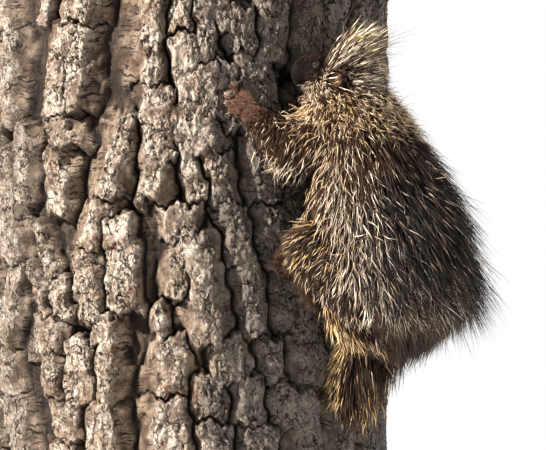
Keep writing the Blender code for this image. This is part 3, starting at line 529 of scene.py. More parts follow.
def beads(stations, depth_direction):
    """Overlapping ellipsoids along stations. depth_direction(centre) is the way the half depth is measured."""
    shapes = []
    for centre, half_width, half_depth, along in between(stations):
        depth = depth_direction(centre)
        depth = (depth - along * depth.dot(along)).normalized()
        across = depth.cross(along)
        axes = (across * half_width, depth * half_depth, along * min(half_width, half_depth))
        shapes.append(ellipsoid(centre, axes))
    return gather(shapes)


def tube(points, radii, sides=10):
    """A closed tapered tube through points, as points and faces."""
    made = []
    rings = []
    side = None
    for i, point in enumerate(points):
        along = (points[min(i + 1, len(points) - 1)] - points[max(i - 1, 0)]).normalized()
        side = along.orthogonal() if side is None else side - along * side.dot(along)
        side.normalize()
        up = along.cross(side)
        ring = []
        for k in range(sides):
            angle = 2 * math.pi * k / sides
            ring.append(len(made))
            made.append(point + (side * math.cos(angle) + up * math.sin(angle)) * radii[i])
        rings.append(ring)
    faces = []
    for ring, after in zip(rings, rings[1:]):
        for k in range(sides):
            m = (k + 1) % sides
            faces.append([ring[k], ring[m], after[m], after[k]])
    faces.append(rings[0][::-1])
    faces.append(rings[-1])
    return made, faces


def ring_tube(centre, axis, radius, thickness, squeeze=1.0):
    """A closed ring round an axis, as points and faces, for a lid or the rim of a nostril."""
    around_count, section_count = 28, 10
    turn = axis.to_track_quat("Z", "Y").to_matrix()
    points = []
    for i in range(around_count):
        angle = 2 * math.pi * i / around_count
        spoke = turn @ Vector((math.cos(angle) * squeeze, math.sin(angle), 0))
        for k in range(section_count):
            tilt = 2 * math.pi * k / section_count
            points.append(centre + spoke * (radius + thickness * math.cos(tilt)) + axis * (thickness * math.sin(tilt)))
    faces = []
    for i in range(around_count):
        for k in range(section_count):
            a, b = i * section_count + k, i * section_count + (k + 1) % section_count
            c, d = (a + section_count) % len(points), (b + section_count) % len(points)
            faces.append([a, c, d, b])
    return points, faces


def blob(name, shapes, voxel, smoothing):
    """One smooth closed surface round overlapping shapes."""
    shape = new_object(name, *gather(shapes))
    remesh = shape.modifiers.new("Remesh", "REMESH")
    remesh.mode = "VOXEL"
    remesh.voxel_size = voxel
    smooth = shape.modifiers.new("Smooth", "SMOOTH")
    smooth.factor = 0.5
    smooth.iterations = smoothing
    return settle(shape)


# Shader graphs


class Graph:
    """Short ways to place and link nodes in a material or a node group."""

    def __init__(self, tree):
        self.tree = tree

    def node(self, kind, label="", **settings):
        made = self.tree.nodes.new(kind)
        made.label = label
        for key, value in settings.items():
            setattr(made, key, value)
        return made

    def feed(self, socket, value):
        """Links an output to a socket, or sets a number or a colour on it."""
        if isinstance(value, bpy.types.NodeSocket):
            self.tree.links.new(value, socket)
        elif isinstance(value, tuple) and len(value) == 3 and socket.type == "RGBA":
            socket.default_value = (*value, 1)
        else:
            socket.default_value = value

    def math(self, operation, a, b=0.0, c=0.0):
        made = self.node("ShaderNodeMath", operation=operation)
        for socket, value in zip(made.inputs, (a, b, c)):
            self.feed(socket, value)
        return made.outputs[0]

    def mix(self, share, a, b):
        """The colour between a and b."""
        made = self.node("ShaderNodeMix", data_type="RGBA")
        self.feed(made.inputs["Factor"], share)
        self.feed(made.inputs[6], a)
        self.feed(made.inputs[7], b)
        return made.outputs[2]

    def step(self, value, low, high, to_low=0.0, to_high=1.0):
        """A smooth step from to_low to to_high as the value goes from low to high."""
        made = self.node("ShaderNodeMapRange", interpolation_type="SMOOTHSTEP")
        for socket, number in zip(made.inputs[:5], (value, low, high, to_low, to_high)):
            self.feed(socket, number)
        return made.outputs[0]

    def place(self):
        return self.node("ShaderNodeTexCoord").outputs["Object"]

    def stretched(self, vector, scale):
        made = self.node("ShaderNodeMapping")
        self.feed(made.inputs["Vector"], vector)
        made.inputs["Scale"].default_value = scale
        return made.outputs[0]

    def noise(self, vector, scale, detail=3.0, roughness=0.55, distortion=0.0):
        made = self.node("ShaderNodeTexNoise")
        self.feed(made.inputs["Vector"], vector)
        made.inputs["Scale"].default_value = scale
        made.inputs["Detail"].default_value = detail
        made.inputs["Roughness"].default_value = roughness
        made.inputs["Distortion"].default_value = distortion
        return made.outputs["Fac"]

    def warped(self, vector, scale, amount):
        """The vector, pushed about by noise."""
        push = self.node("ShaderNodeTexNoise")
        self.feed(push.inputs["Vector"], vector)
        push.inputs["Scale"].default_value = scale
        made = self.node("ShaderNodeVectorMath", operation="MULTIPLY_ADD")
        self.feed(made.inputs[0], push.outputs["Color"])
        made.inputs[1].default_value = (amount, amount, amount)
        self.feed(made.inputs[2], vector)
        return made.outputs[0]

    def cells(self, vector, scale):
        """How far a place is from the nearest border between cells."""
        made = self.node("ShaderNodeTexVoronoi", feature="DISTANCE_TO_EDGE")
        self.feed(made.inputs["Vector"], vector)
        made.inputs["Scale"].default_value = scale
        return made.outputs["Distance"]

    def value(self, name):
        """A number stored on the mesh."""
        return self.node("ShaderNodeAttribute", attribute_name=name).outputs["Fac"]

    def group(self, tree, **inputs):
        made = self.node("ShaderNodeGroup", node_tree=tree)
        for name, value in inputs.items():
            self.feed(made.inputs[name.replace("_", " ")], value)
        return made

    def bump(self, height, distance, strength=1.0, normal=None):
        made = self.node("ShaderNodeBump")
        self.feed(made.inputs["Height"], height)
        made.inputs["Distance"].default_value = distance
        made.inputs["Strength"].default_value = strength
        if normal is not None:
            self.feed(made.inputs["Normal"], normal)
        return made.outputs[0]


def new_group(name, inputs, outputs):
    """An empty node group with named inputs and outputs, and its graph and end nodes."""
    tree = bpy.data.node_groups.new(name, "ShaderNodeTree")
    for label, kind in inputs:
        tree.interface.new_socket(label, in_out="INPUT", socket_type=kind)
    for label, kind in outputs:
        tree.interface.new_socket(label, in_out="OUTPUT", socket_type=kind)
    graph = Graph(tree)
    return graph, graph.node("NodeGroupInput"), graph.node("NodeGroupOutput")


def new_material(name, **settings):
    """A material with these settings on its shader, and its graph."""
    material = bpy.data.materials.new(name)
    material.use_nodes = True
    graph = Graph(material.node_tree)
    shader = material.node_tree.nodes["Principled BSDF"]
    for key, value in settings.items():
        graph.feed(shader.inputs[key.replace("_", " ")], value)
    return material, graph, shader


def hair_colour_group():
    """The colour along a hair: a dark root and shaft, a pale or golden end and, on a quill, bands."""
    number, colour = "NodeSocketFloat", "NodeSocketColor"
    inputs = [(label, number) for label in HAIR_VALUES]
    inputs += [(label, colour) for label in ("Root", "Shaft", "Cream", "Golden")]
    graph, start, end = new_group("hair_colour", inputs, (("Color", colour), ("Roughness", number)))
    along, chance = start.outputs["Along"], start.outputs["Chance"]
    pinkish = graph.mix(graph.step(chance, 0.2, 0.9), start.outputs["Cream"], PINKISH)
    lit = graph.mix(start.outputs["Gold"], pinkish, start.outputs["Golden"])
    turn = graph.math("MULTIPLY_ADD", chance, 0.26, 0.42)
    pale = graph.math("MULTIPLY", graph.step(along, turn, graph.math("ADD", turn, 0.16)), start.outputs["Pale"])
    shaft = graph.mix(start.outputs["Red"], start.outputs["Shaft"], RED_BROWN)
    dark = graph.mix(graph.step(along, 0.0, 0.45), start.outputs["Root"], shaft)
    band = graph.math("SINE", graph.math("MULTIPLY_ADD", along, 15.0, graph.math("MULTIPLY", chance, 2.5)))
    banded = graph.math("MULTIPLY", graph.step(band, -0.1, 0.5), start.outputs["Bands"])
    made = graph.mix(pale, graph.mix(banded, dark, lit), lit)
    shade = graph.math("MULTIPLY_ADD", graph.math("FRACT", graph.math("MULTIPLY", chance, 7.3)), 0.6, 0.65)
    tone = graph.node("ShaderNodeCombineColor")
    for k in range(3):
        graph.feed(tone.inputs[k], shade)
    shaded = graph.node("ShaderNodeMix", data_type="RGBA", blend_type="MULTIPLY")
    shaded.inputs["Factor"].default_value = 1.0
    graph.feed(shaded.inputs[6], made)
    graph.feed(shaded.inputs[7], tone.outputs[0])
    graph.feed(end.inputs["Color"], shaded.outputs[2])
    graph.feed(end.inputs["Roughness"], graph.step(along, 0.0, 1.0, 0.75, 0.55))
    return graph.tree


HAIR_VALUES = ("Along", "Chance", "Pale", "Gold", "Bands", "Red")
CREAM = (0.90, 0.80, 0.66)
PINKISH = (0.70, 0.51, 0.42)
YELLOW = (0.84, 0.66, 0.30)
GOLDEN = (0.72, 0.46, 0.16)
RED_BROWN = (0.046, 0.018, 0.010)
HAIR_COLOUR = hair_colour_group()


def hair_material(name, root, shaft, cream, golden):
    material, graph, shader = new_material(name)
    values = {label: graph.value(label.lower()) for label in HAIR_VALUES}
    hair = graph.group(HAIR_COLOUR, **values, Root=root, Shaft=shaft, Cream=cream, Golden=golden)
    graph.feed(shader.inputs["Base Color"], hair.outputs["Color"])
    graph.feed(shader.inputs["Roughness"], hair.outputs["Roughness"])
    shader.inputs["Specular IOR Level"].default_value = 0.08
    return material


def skin_material():
    """Dark skin under the coat, with a fine fur grain, gold where the coat is and bare on the nose."""
    material, graph, shader = new_material("skin")
    place = graph.place()
    grain = graph.noise(graph.stretched(place, (1, 1, 0.35)), 900.0, 4.0, 0.7)
    patch = graph.noise(place, 60.0)
    fur = graph.mix(graph.step(grain, 0.35, 0.7), (0.003, 0.002, 0.0018), (0.010, 0.006, 0.0045))
    gold = graph.mix(graph.math("MULTIPLY", graph.value("gold"), 0.35), fur, (0.12, 0.060, 0.022))
    # The bare nose: dark skin of its own, painted darker still as shade, for the muzzle lies in the bark's shadow.
    bare = graph.mix(graph.step(patch, 0.3, 0.7), (0.0025, 0.0018, 0.0017), (0.0055, 0.0038, 0.0034))
    lobe = graph.mix(graph.step(patch, 0.3, 0.7), (0.17, 0.10, 0.058), (0.38, 0.25, 0.15))
    tanned = graph.mix(graph.value("tan"), gold, lobe)
    graph.feed(shader.inputs["Base Color"], graph.mix(graph.value("bare"), tanned, bare))
    graph.feed(shader.inputs["Roughness"], graph.step(graph.value("bare"), 0.0, 1.0, 0.85, 0.78))
    shader.inputs["Specular IOR Level"].default_value = 0.07
    graph.feed(shader.inputs["Normal"], graph.bump(grain, 0.0006, 0.6))
    return material


def eye_material():
    """A wet dark brown eye with a black pupil, in the eye's own frame, whose +Z looks out of the head."""
    material, graph, shader = new_material("eye", Roughness=0.08, Coat_Weight=1.0, Coat_Roughness=0.03)
    place = graph.place()
    apart = graph.node("ShaderNodeSeparateXYZ")
    graph.feed(apart.inputs[0], place)
    across = graph.math("SQRT", graph.math(
        "ADD", graph.math("POWER", apart.outputs[0], 2.0), graph.math("POWER", apart.outputs[1], 2.0)))
    fibres = graph.noise(graph.stretched(place, (1, 1, 0.2)), 1400.0, 2.0)
    iris = graph.mix(fibres, (0.008, 0.004, 0.003), (0.024, 0.012, 0.006))
    ringed = graph.mix(graph.step(across, EYE_RADIUS * 0.62, EYE_RADIUS * 0.80), iris, (0.008, 0.006, 0.006))
    pupil = graph.mix(graph.step(across, EYE_RADIUS * 0.28, EYE_RADIUS * 0.36), (0.002, 0.002, 0.002), ringed)
    graph.feed(shader.inputs["Base Color"], pupil)
    return material


def claw_material():
    """Horn that is dark at the root and paler towards its worn tip, with fine lengthwise lines."""
    material, graph, shader = new_material("claw")
    grain = graph.noise(graph.place(), 700.0, 3.0)
    dark = graph.mix(grain, (0.022, 0.013, 0.009), (0.050, 0.032, 0.021))
    pale = graph.mix(grain, (0.060, 0.042, 0.029), (0.13, 0.096, 0.068))
    graph.feed(shader.inputs["Base Color"], graph.mix(graph.step(graph.value("along"), 0.1, 0.9), dark, pale))
    graph.feed(shader.inputs["Roughness"], graph.step(grain, 0.3, 0.7, 0.28, 0.5))
    graph.feed(shader.inputs["Normal"], graph.bump(grain, 0.0003, 0.5))
    return material


def bark_material():
    """Corky bark: rough pale crests, tan walls with level cracks, slots painted black as shade, and lichen in the
    shade. The side in sunlight and the side in shade are painted as two copies of the colours.
    """
    material, graph, shader = new_material("bark")
    place = graph.place()
    # hollow marks the slots to be painted dark as shade. The second mask marks the side in sunlight, for painted sun
    # and shade.
    crest, hollow = graph.value("crest"), graph.value("hollow")
    painted_sunlit, lichen = graph.value("painted_sunlit"), graph.value("lichen")
    wide = graph.step(graph.noise(place, 26.0, 6.0, 0.62), 0.40, 0.60)
    speckle = graph.noise(graph.stretched(place, (1, 1, 0.7)), 230.0, 6.0, 0.75)
    fine = graph.noise(place, 640.0, 4.0, 0.75)
    # Cracks: two nets over the crests, and short level ones in groups on the walls
    wide_net = graph.cells(graph.stretched(graph.warped(place, 55.0, 0.022), (1, 1, 0.45)), 62.0)
    close_net = graph.cells(graph.stretched(graph.warped(place, 120.0, 0.010), (1, 1, 0.6)), 150.0)
    gone = graph.step(graph.noise(place, 40.0, 4.0), 0.44, 0.54)
    crack = graph.math("MULTIPLY", graph.step(wide_net, 0.01, 0.085, 1.0, 0.0), gone)
    gone = graph.step(graph.noise(place, 75.0, 3.0), 0.48, 0.56)
    small = graph.math("MULTIPLY", graph.step(close_net, 0.01, 0.11, 1.0, 0.0), gone)
    level = graph.noise(graph.stretched(graph.warped(place, 26.0, 0.030), (0.14, 0.14, 1)), 240.0, 3.0, 0.6)
    grouped = graph.step(graph.noise(place, 30.0, 4.0), 0.44, 0.56)
    line = graph.math("MULTIPLY", graph.step(level, 0.42, 0.47, 1.0, 0.0), graph.math("MULTIPLY_ADD", grouped, 0.85, 0.12))

    # Painted sun and shade: walls and crests each have a sunlit copy and a shaded copy of their colour, blended by the
    # mask of the side in sunlight. The walls are darker than the crests, partly the bark's own colour and partly
    # painted shade.
    wall_sunlit = graph.mix(wide, (0.078, 0.049, 0.033), (0.235, 0.170, 0.122))
    wall_shaded = graph.mix(wide, (0.085, 0.066, 0.053), (0.195, 0.160, 0.133))
    wall = graph.mix(painted_sunlit, wall_shaded, wall_sunlit)
    wall = graph.mix(graph.step(fine, 0.42, 0.54, 0.45, 0.0), wall, (0.085, 0.058, 0.042))
    wall = graph.mix(line, wall, (0.020, 0.013, 0.009))
    coarse = graph.step(speckle, 0.40, 0.58)
    # The crust's sunlit and shaded copies, again painted sun and shade.
    crust_sunlit = graph.mix(coarse, (0.125, 0.085, 0.060), (0.60, 0.500, 0.405))
    crust_shaded = graph.mix(coarse, (0.105, 0.084, 0.068), (0.255, 0.218, 0.188))
    crust_sunlit = graph.mix(graph.step(wide, 0.45, 1.0, 0.0, 0.50), crust_sunlit, (0.78, 0.690, 0.590))
    rust = graph.math("MULTIPLY", graph.step(graph.noise(place, 34.0, 4.0), 0.50, 0.62), 0.55)
    crust_sunlit = graph.mix(rust, crust_sunlit, (0.205, 0.110, 0.058))
    crust = graph.mix(painted_sunlit, crust_shaded, crust_sunlit)
    crust = graph.mix(graph.math("MULTIPLY", small, 0.70), crust, (0.035, 0.022, 0.015))
    pits = graph.step(fine, 0.40, 0.46, 0.6, 0.0)
    crust = graph.mix(pits, crust, (0.045, 0.028, 0.020))
    surface = graph.mix(crest, wall, crust)
    surface = graph.mix(graph.math("MULTIPLY", crack, graph.step(crest, 0, 1, 0.35, 0.95)), surface, (0.012, 0.008, 0.006))
    # Painted shade: the slots and valleys go nearly black.
    surface = graph.mix(graph.math("MULTIPLY", hollow, 0.95), surface, (0.009, 0.006, 0.005))
    patchy = graph.math("MULTIPLY", lichen, graph.step(speckle, 0.45, 0.55))
    surface = graph.mix(graph.math("MULTIPLY", patchy, 0.55), surface, (0.135, 0.115, 0.026))
    graph.feed(shader.inputs["Base Color"], surface)
    graph.feed(shader.inputs["Roughness"], graph.step(crest, 0.0, 1.0, 0.75, 0.92))
    shader.inputs["Specular IOR Level"].default_value = 0.15
    rough_share = graph.step(crest, 0, 1, 0.40, 1.2)
    grain = graph.math("MULTIPLY_ADD", speckle, rough_share, graph.math("MULTIPLY", fine, 0.35))
    cracks = graph.math("ADD", graph.math("MULTIPLY", crack, 0.5), graph.math("MULTIPLY", small, 0.22))
    grain = graph.math("SUBTRACT", grain, graph.math("MULTIPLY", cracks, graph.step(crest, 0, 1, 0.4, 1.0)))
    grain = graph.math("SUBTRACT", grain, graph.math("MULTIPLY", line, 0.30))
    graph.feed(shader.inputs["Normal"], graph.bump(grain, 0.0095, 1.0))
    return material


def sawn_material():
    """Sawn end grain: growth rings, rays, fine checks and saw marks."""
    material, graph, shader = new_material("sawn_wood")
    place = graph.place()
    apart = graph.node("ShaderNodeSeparateXYZ")
    graph.feed(apart.inputs[0], place)
    radius = graph.math("SQRT", graph.math(
        "ADD", graph.math("POWER", apart.outputs[0], 2.0), graph.math("POWER", apart.outputs[1], 2.0)))
    wander = graph.noise(place, 7.0, 2.0)
    rings = graph.math("SINE", graph.math("MULTIPLY", graph.math(
        "ADD", radius, graph.math("MULTIPLY", wander, 0.022)), 2 * math.pi / 0.0085))
    grain = graph.noise(graph.stretched(place, (1, 1, 0.1)), 420.0, 3.0)
    ragged = graph.math("MULTIPLY_ADD", graph.noise(place, 16.0, 4.0), 0.05, radius)
    heart = graph.mix(graph.step(ragged, 0.170, 0.182), (0.105, 0.060, 0.034), (0.21, 0.150, 0.090))
    ringed = graph.mix(graph.math("MULTIPLY", graph.step(rings, 0.3, 0.95), 0.70), heart, (0.070, 0.040, 0.021))
    # Drying checks, which run out from the middle and close towards the bark
    bearing = graph.math("ARCTAN2", apart.outputs[1], apart.outputs[0])
    bearing = graph.math("MULTIPLY_ADD", wander, 0.35, bearing)
    rays = graph.math("ABSOLUTE", graph.math("SINE", graph.math("MULTIPLY", bearing, 6.5)))
    narrow = graph.math("MULTIPLY", graph.step(rays, 0.0, 0.030, 1.0, 0.0), graph.step(radius, 0.04, 0.07))
    narrow = graph.math("MULTIPLY", narrow, graph.step(ragged, 0.24, 0.30, 1.0, 0.0))
    ringed = graph.mix(graph.math("MULTIPLY", narrow, 0.9), ringed, (0.020, 0.012, 0.007))
    worn = graph.mix(graph.math("MULTIPLY", graph.step(grain, 0.45, 0.75), 0.5), ringed, (0.150, 0.125, 0.100))
    rind = graph.mix(graph.step(radius, TRUNK_RADIUS - 0.034, TRUNK_RADIUS - 0.026), worn, (0.070, 0.040, 0.022))
    graph.feed(shader.inputs["Base Color"], rind)
    graph.feed(shader.inputs["Roughness"], graph.step(grain, 0.3, 0.7, 0.65, 0.85))
    height = graph.math("ADD", graph.math("MULTIPLY", rings, 0.2), grain)
    height = graph.math("MULTIPLY_ADD", narrow, -1.5, height)
    graph.feed(shader.inputs["Normal"], graph.bump(height, 0.0008, 0.6))
    return material


def paint_material():
    """Dark satin paint on wood, with faint brush marks, dust and rubbed spots."""
    material, graph, shader = new_material("stand_paint")
    place = graph.place()
    brush = graph.noise(graph.stretched(place, (1, 12, 1)), 26.0, 3.0)
    dust = graph.noise(place, 9.0, 4.0)
    paint = graph.mix(brush, (0.017, 0.016, 0.015), (0.030, 0.028, 0.026))
    graph.feed(shader.inputs["Base Color"], graph.mix(graph.step(dust, 0.5, 0.8, 0.0, 0.35), paint, (0.09, 0.085, 0.08)))
    graph.feed(shader.inputs["Roughness"], graph.step(dust, 0.3, 0.8, 0.36, 0.58))
    graph.feed(shader.inputs["Normal"], graph.bump(brush, 0.0004, 0.35))
    return material


# Trunk


def ridges():
    """Every ridge of bark round the trunk, in degrees and metres. Those at the back are drawn."""
    draw = random.Random(5)
    made = [(*row[:2], *(number / 1000 for number in row[2:])) for row in NEAR_RIDGES]
    pitch = (FAR_END - FAR_START) / FAR_COLUMNS
    for column in range(FAR_COLUMNS + 1):
        top = TRUNK_FOOT + TRUNK_LENGTH + draw.uniform(0, 0.1)
        angle = FAR_START + pitch * column + draw.uniform(-1.5, 1.5)
        while top > TRUNK_FOOT:
            length = draw.uniform(0.09, 0.24)
            foot_angle = angle + draw.uniform(-3.5, 3.5)
            made.append((angle, foot_angle, top, top - length, draw.uniform(0.008, 0.019), draw.uniform(0.002, 0.011)))
            top -= length + draw.uniform(0.003, 0.012)
            angle = 0.5 * (foot_angle + FAR_START + pitch * column) + draw.uniform(-1, 1)
    return made


def bark_waver(angles, heights):
    """How much a ridge's edge wanders to the side and up, in metres."""
    along = heights / 0.021
    side = 0.0030 * np.sin(along + 2.3 * np.sin(angles * 0.31)) + 0.0024 * np.sin(along * 2.3 + angles * 0.9)
    up = 0.0050 * np.sin(angles * 0.83 + 1.7 * np.sin(heights / 0.05)) + 0.0020 * np.sin(angles * 2.9)
    return side, up


def bark_surface(angles, heights):
    """How far the bark stands out over a grid of angles and heights, and its masks by name."""
    turn = np.radians(angles)
    place = np.stack((TRUNK_RADIUS * np.cos(turn), -TRUNK_RADIUS * np.sin(turn), heights), axis=-1)
    side, up = bark_waver(angles, heights)
    fine_side = side + 0.0022 * rough(place, (0.016, 0.016, 0.022), 3, 1)
    fine_up = heights + up + 0.0030 * rough(place, (0.020, 0.020, 0.012), 3, 2)
    best = np.full(angles.shape, -1.0)
    second = np.full(angles.shape, -1.0)
    wall = np.full(angles.shape, 0.05)
    for top_angle, foot_angle, top, foot, half_width, stand in ridges():
        low, high = np.searchsorted(heights[:, 0], (foot - 0.03, top + 0.03))
        rows = slice(low, high)
        share = np.clip((fine_up[rows] - foot) / (top - foot), 0, 1)
        middle = foot_angle + (top_angle - foot_angle) * share
        apart = (angles[rows] - middle + 180) % 360 - 180
        sideways = np.radians(apart) * TRUNK_RADIUS + fine_side[rows]
        beyond = np.maximum(np.maximum(foot - fine_up[rows], fine_up[rows] - top), 0)
        outside = np.hypot(np.maximum(np.abs(sideways) - half_width, 0), BARK_END_WALL * beyond)
        out = stand - BARK_FALL * (1 - np.exp(-outside / BARK_WALL))
        out = out - BARK_DOME * np.minimum(np.abs(sideways) / half_width, 1.5) ** 2
        nearer = out > best[rows]
        second[rows] = np.where(nearer, best[rows], np.maximum(second[rows], out))
        best[rows] = np.where(nearer, out, best[rows])
        wall[rows] = np.where(nearer, outside, wall[rows])
    valley = smooth_step(0.0055, 0.0, best - second) * smooth_step(0.001, 0.004, wall)
    out = np.maximum(best, -BARK_DEPTH) - 0.008 * valley

    # The crest of each ridge is a rough crust that breaks into plates of many sizes. Its walls stay
    # smooth, with fine level ribs.
    crest = 1 - smooth_step(0.0, 0.009, wall + 0.008 * rough(place, (0.012, 0.012, 0.020), 2, 5))
    bent = place + 0.009 * noise(place, 0.018, 6)[..., None] + 0.004 * noise(place, 0.006, 7)[..., None]
    split, chip = cracked(bent, (0.013, 0.013, 0.026), 8)
    torn = smooth_step(-0.2, 0.3, noise(place, 0.030, 10))
    out = out + crest * (0.0026 * rough(place, (0.006, 0.006, 0.009), 3, 9) + 0.0030 * (chip - 0.4))
    out = out - crest * 0.0045 * torn * (1 - smooth_step(0.03, 0.16, split))
    ribs = noise(place + 0.010 * noise(place, 0.03, 3)[..., None], (0.030, 0.030, 0.0050), 12)
    out = out + (1 - crest) * (0.0007 * ribs + 0.0015 * rough(place, (0.014, 0.014, 0.060), 3, 13))

    # Painted shade: hollow marks the valleys between ridges and the narrow slots that sink below the bark around them,
    # where shadow falls.
    sunk = smeared(out, 6) - out
    hollow = np.clip(0.9 * valley + smooth_step(0.0020, 0.0070, sunk), 0, 1)
    # Painted sun and shade: this mask is 1 on the side of the trunk that faces the key light and 0 on the side in
    # shade. It is smaller again at the far left, where the trunk turns away from the light, and larger towards the top
    # of the shaded side. At the back it varies at random.
    painted_sunlit = smooth_step(79, 86, angles + 5 * noise(place, 0.05, 14))
    painted_sunlit = painted_sunlit * (1 - 0.45 * smooth_step(122, 142, angles))
    painted_sunlit = painted_sunlit + 0.35 * (1 - painted_sunlit) * smooth_step(0.60, 0.84, heights)
    painted_sunlit = np.where(angles > 180, 0.5 + 0.5 * noise(place, 0.12, 15), painted_sunlit)
    lichen = smooth_step(0.50, 0.66, noise(place, (0.035, 0.035, 0.07), 16)) * (1 - smooth_step(0.3, 0.9, painted_sunlit))
    lichen = lichen * smooth_step(0.44, 0.36, heights)
    return out, {"crest": crest, "hollow": hollow, "painted_sunlit": painted_sunlit, "lichen": lichen}


def smeared(values, reach):
    """Values averaged over so many columns to either side, round the trunk."""
    return sum(np.roll(values, shift, axis=1) for shift in range(-reach, reach + 1)) / (2 * reach + 1)


# Columns of the trunk's mesh: the angle at which each stretch ends, and its number of columns
TRUNK_START = -15.0
TRUNK_COLUMNS = ((40.0, 80), (160.0, 400), (345.0, 150))
TRUNK_ROWS = 330
END_RINGS = (0.985, 0.955, 0.90, 0.80, 0.65, 0.45, 0.22)


def build_trunk():
    """The cut trunk as one closed mesh, finer on the side with the animal, with two sawn ends."""
    starts = (TRUNK_START, *(end for end, columns in TRUNK_COLUMNS))
    columns = np.concatenate([
        np.linspace(start, end, count, endpoint=False) for start, (end, count) in zip(starts, TRUNK_COLUMNS)
    ])
    rows = np.linspace(TRUNK_FOOT, TRUNK_FOOT + TRUNK_LENGTH, TRUNK_ROWS)
    angles, heights = np.meshgrid(columns, rows)
    out, masks = bark_surface(angles, heights)
    turn = np.radians(angles)
    radius = TRUNK_RADIUS + out
    side = np.stack((radius * np.cos(turn), -radius * np.sin(turn), heights), axis=-1)
    count = len(columns)
    k = np.arange(count)
    after = (k + 1) % count
    low = (np.arange(TRUNK_ROWS - 1) * count)[:, None]
    quads = np.stack((low + k, low + count + k, low + count + after, low + after), axis=-1).reshape(-1, 4)
    triangles = [quads[:, (0, 1, 2)], quads[:, (0, 2, 3)]]
    points = [side.reshape(-1, 3)]
    total = TRUNK_ROWS * count
    for row, up in ((0, False), (TRUNK_ROWS - 1, True)):
        inner = row * count + k
        for share in END_RINGS:
            ring = side[row] * (share, share, 1)
            points.append(ring)
            now = total + k
            ends = np.stack((inner, inner[after], now[after], now), axis=-1)
            if up:
                ends = ends[:, ::-1]
            triangles += [ends[:, (0, 1, 2)], ends[:, (0, 2, 3)]]
            inner = now
            total += count
        points.append(np.array([[0, 0, rows[row]]]))
        fan = np.stack((inner, inner[after], np.full(count, total)), axis=-1)
        triangles.append(fan[:, ::-1] if up else fan)
        total += 1
    mesh = mesh_from_triangles("trunk", np.concatenate(points), np.concatenate(triangles))
    for name, values in masks.items():
        padded = np.zeros(total)
        padded[: values.size] = values.ravel()
        set_values(mesh, name, padded)
    mesh.materials.append(bark_material())
    mesh.materials.append(sawn_material())
    kinds = np.zeros(len(mesh.polygons), np.int32)
    kinds[2 * len(quads):] = 1
    mesh.polygons.foreach_set("material_index", kinds)
    trunk = shown("trunk", mesh)
    mesh.set_sharp_from_angle(angle=math.radians(70))
    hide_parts("perch_trunk")
    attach(trunk, "root")


# Stand


def turned(name, profile, x, material, sides=144):
    """A round piece turned from a profile of (radius, height), closed at both ends."""
    points = []
    faces = []
    for radius, height in profile:
        for k in range(sides):
            angle = 2 * math.pi * k / sides
            points.append((x + radius * math.cos(angle), radius * math.sin(angle), height))
    for ring in range(len(profile) - 1):
        for k in range(sides):
            a, b = ring * sides + k, ring * sides + (k + 1) % sides
            faces.append([a, b, b + sides, a + sides])
    faces.append(list(range(sides))[::-1])
    faces.append([len(points) - sides + k for k in range(sides)])
    shape = new_object(name, points, faces, material)
    shape.data.shade_smooth()
    shape.data.set_sharp_from_angle(angle=math.radians(40))
    return shape


def build_stand():
    """A round painted base with a rounded edge and a fine bead, and two rods with collars."""
    material = paint_material()
    rounded = [
        (BASE_RADIUS - BASE_EDGE * (1 - math.sin(t)), BASE_THICKNESS - BASE_EDGE * (1 - math.cos(t)))
        for t in (math.radians(step * 15) for step in range(6, -1, -1))
    ]
    profile = [(BASE_RADIUS - BASE_EDGE, 0), (BASE_RADIUS - 0.001, 0.003), (BASE_RADIUS, 0.006)]
    profile += [(BASE_RADIUS, 0.0125), (BASE_RADIUS - 0.0016, 0.0135), (BASE_RADIUS, 0.0145)]
    profile += rounded
    profile += [(BASE_RADIUS * share, BASE_THICKNESS) for share in (0.93, 0.6, 0.2)]
    base = turned("stand_base_turned", profile, 0, material)
    pieces = [(base, "stand_base")]
    collar = ROD_RADIUS - 0.0045
    for name, side in (("stand_rod_left", -1), ("stand_rod_right", 1)):
        foot, top = (corner.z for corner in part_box(name))
        profile = [
            (ROD_RADIUS - 0.001, foot), (ROD_RADIUS, foot + 0.001), (ROD_RADIUS, foot + 0.006),
            (ROD_RADIUS - 0.002, foot + 0.008), (collar, foot + 0.010), (collar, top - 0.010),
            (ROD_RADIUS - 0.002, top - 0.008), (ROD_RADIUS, top - 0.006), (ROD_RADIUS, top - 0.001),
            (ROD_RADIUS - 0.001, top),
        ]
        pieces.append((turned(f"{name}_turned", profile, side * ROD_SPREAD, material, 64), name))
    for piece, node in pieces:
        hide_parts(node)
        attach(piece, "root")


# Skin


def eye_centre(side):
    return on_head(EYE_PLACE[0], side * EYE_PLACE[1], EYE_PLACE[2])


def eye_axis(side):
    return head_direction(0.35, side * 0.92, 0.16).normalized()


def ear_axes(side):
    """An ear's centre, and the ways across it, out of its mouth and up it."""
    root = on_head(EAR_PLACE[0], side * EAR_PLACE[1], EAR_PLACE[2])
    rise = head_direction(-0.55, side * 0.62, 0.56).normalized()
    mouth = head_direction(0.72, side * 0.66, 0.05)
    mouth = (mouth - rise * mouth.dot(rise)).normalized()
    return root + rise * EAR_HEIGHT * 0.30, mouth.cross(rise), mouth, rise


def nostril_axes(side):
    return (
        head_direction(0.006, 0, 0),
        head_direction(0, 0.0022, 0.001),
        head_direction(0, -0.002, 0.0042),
    )


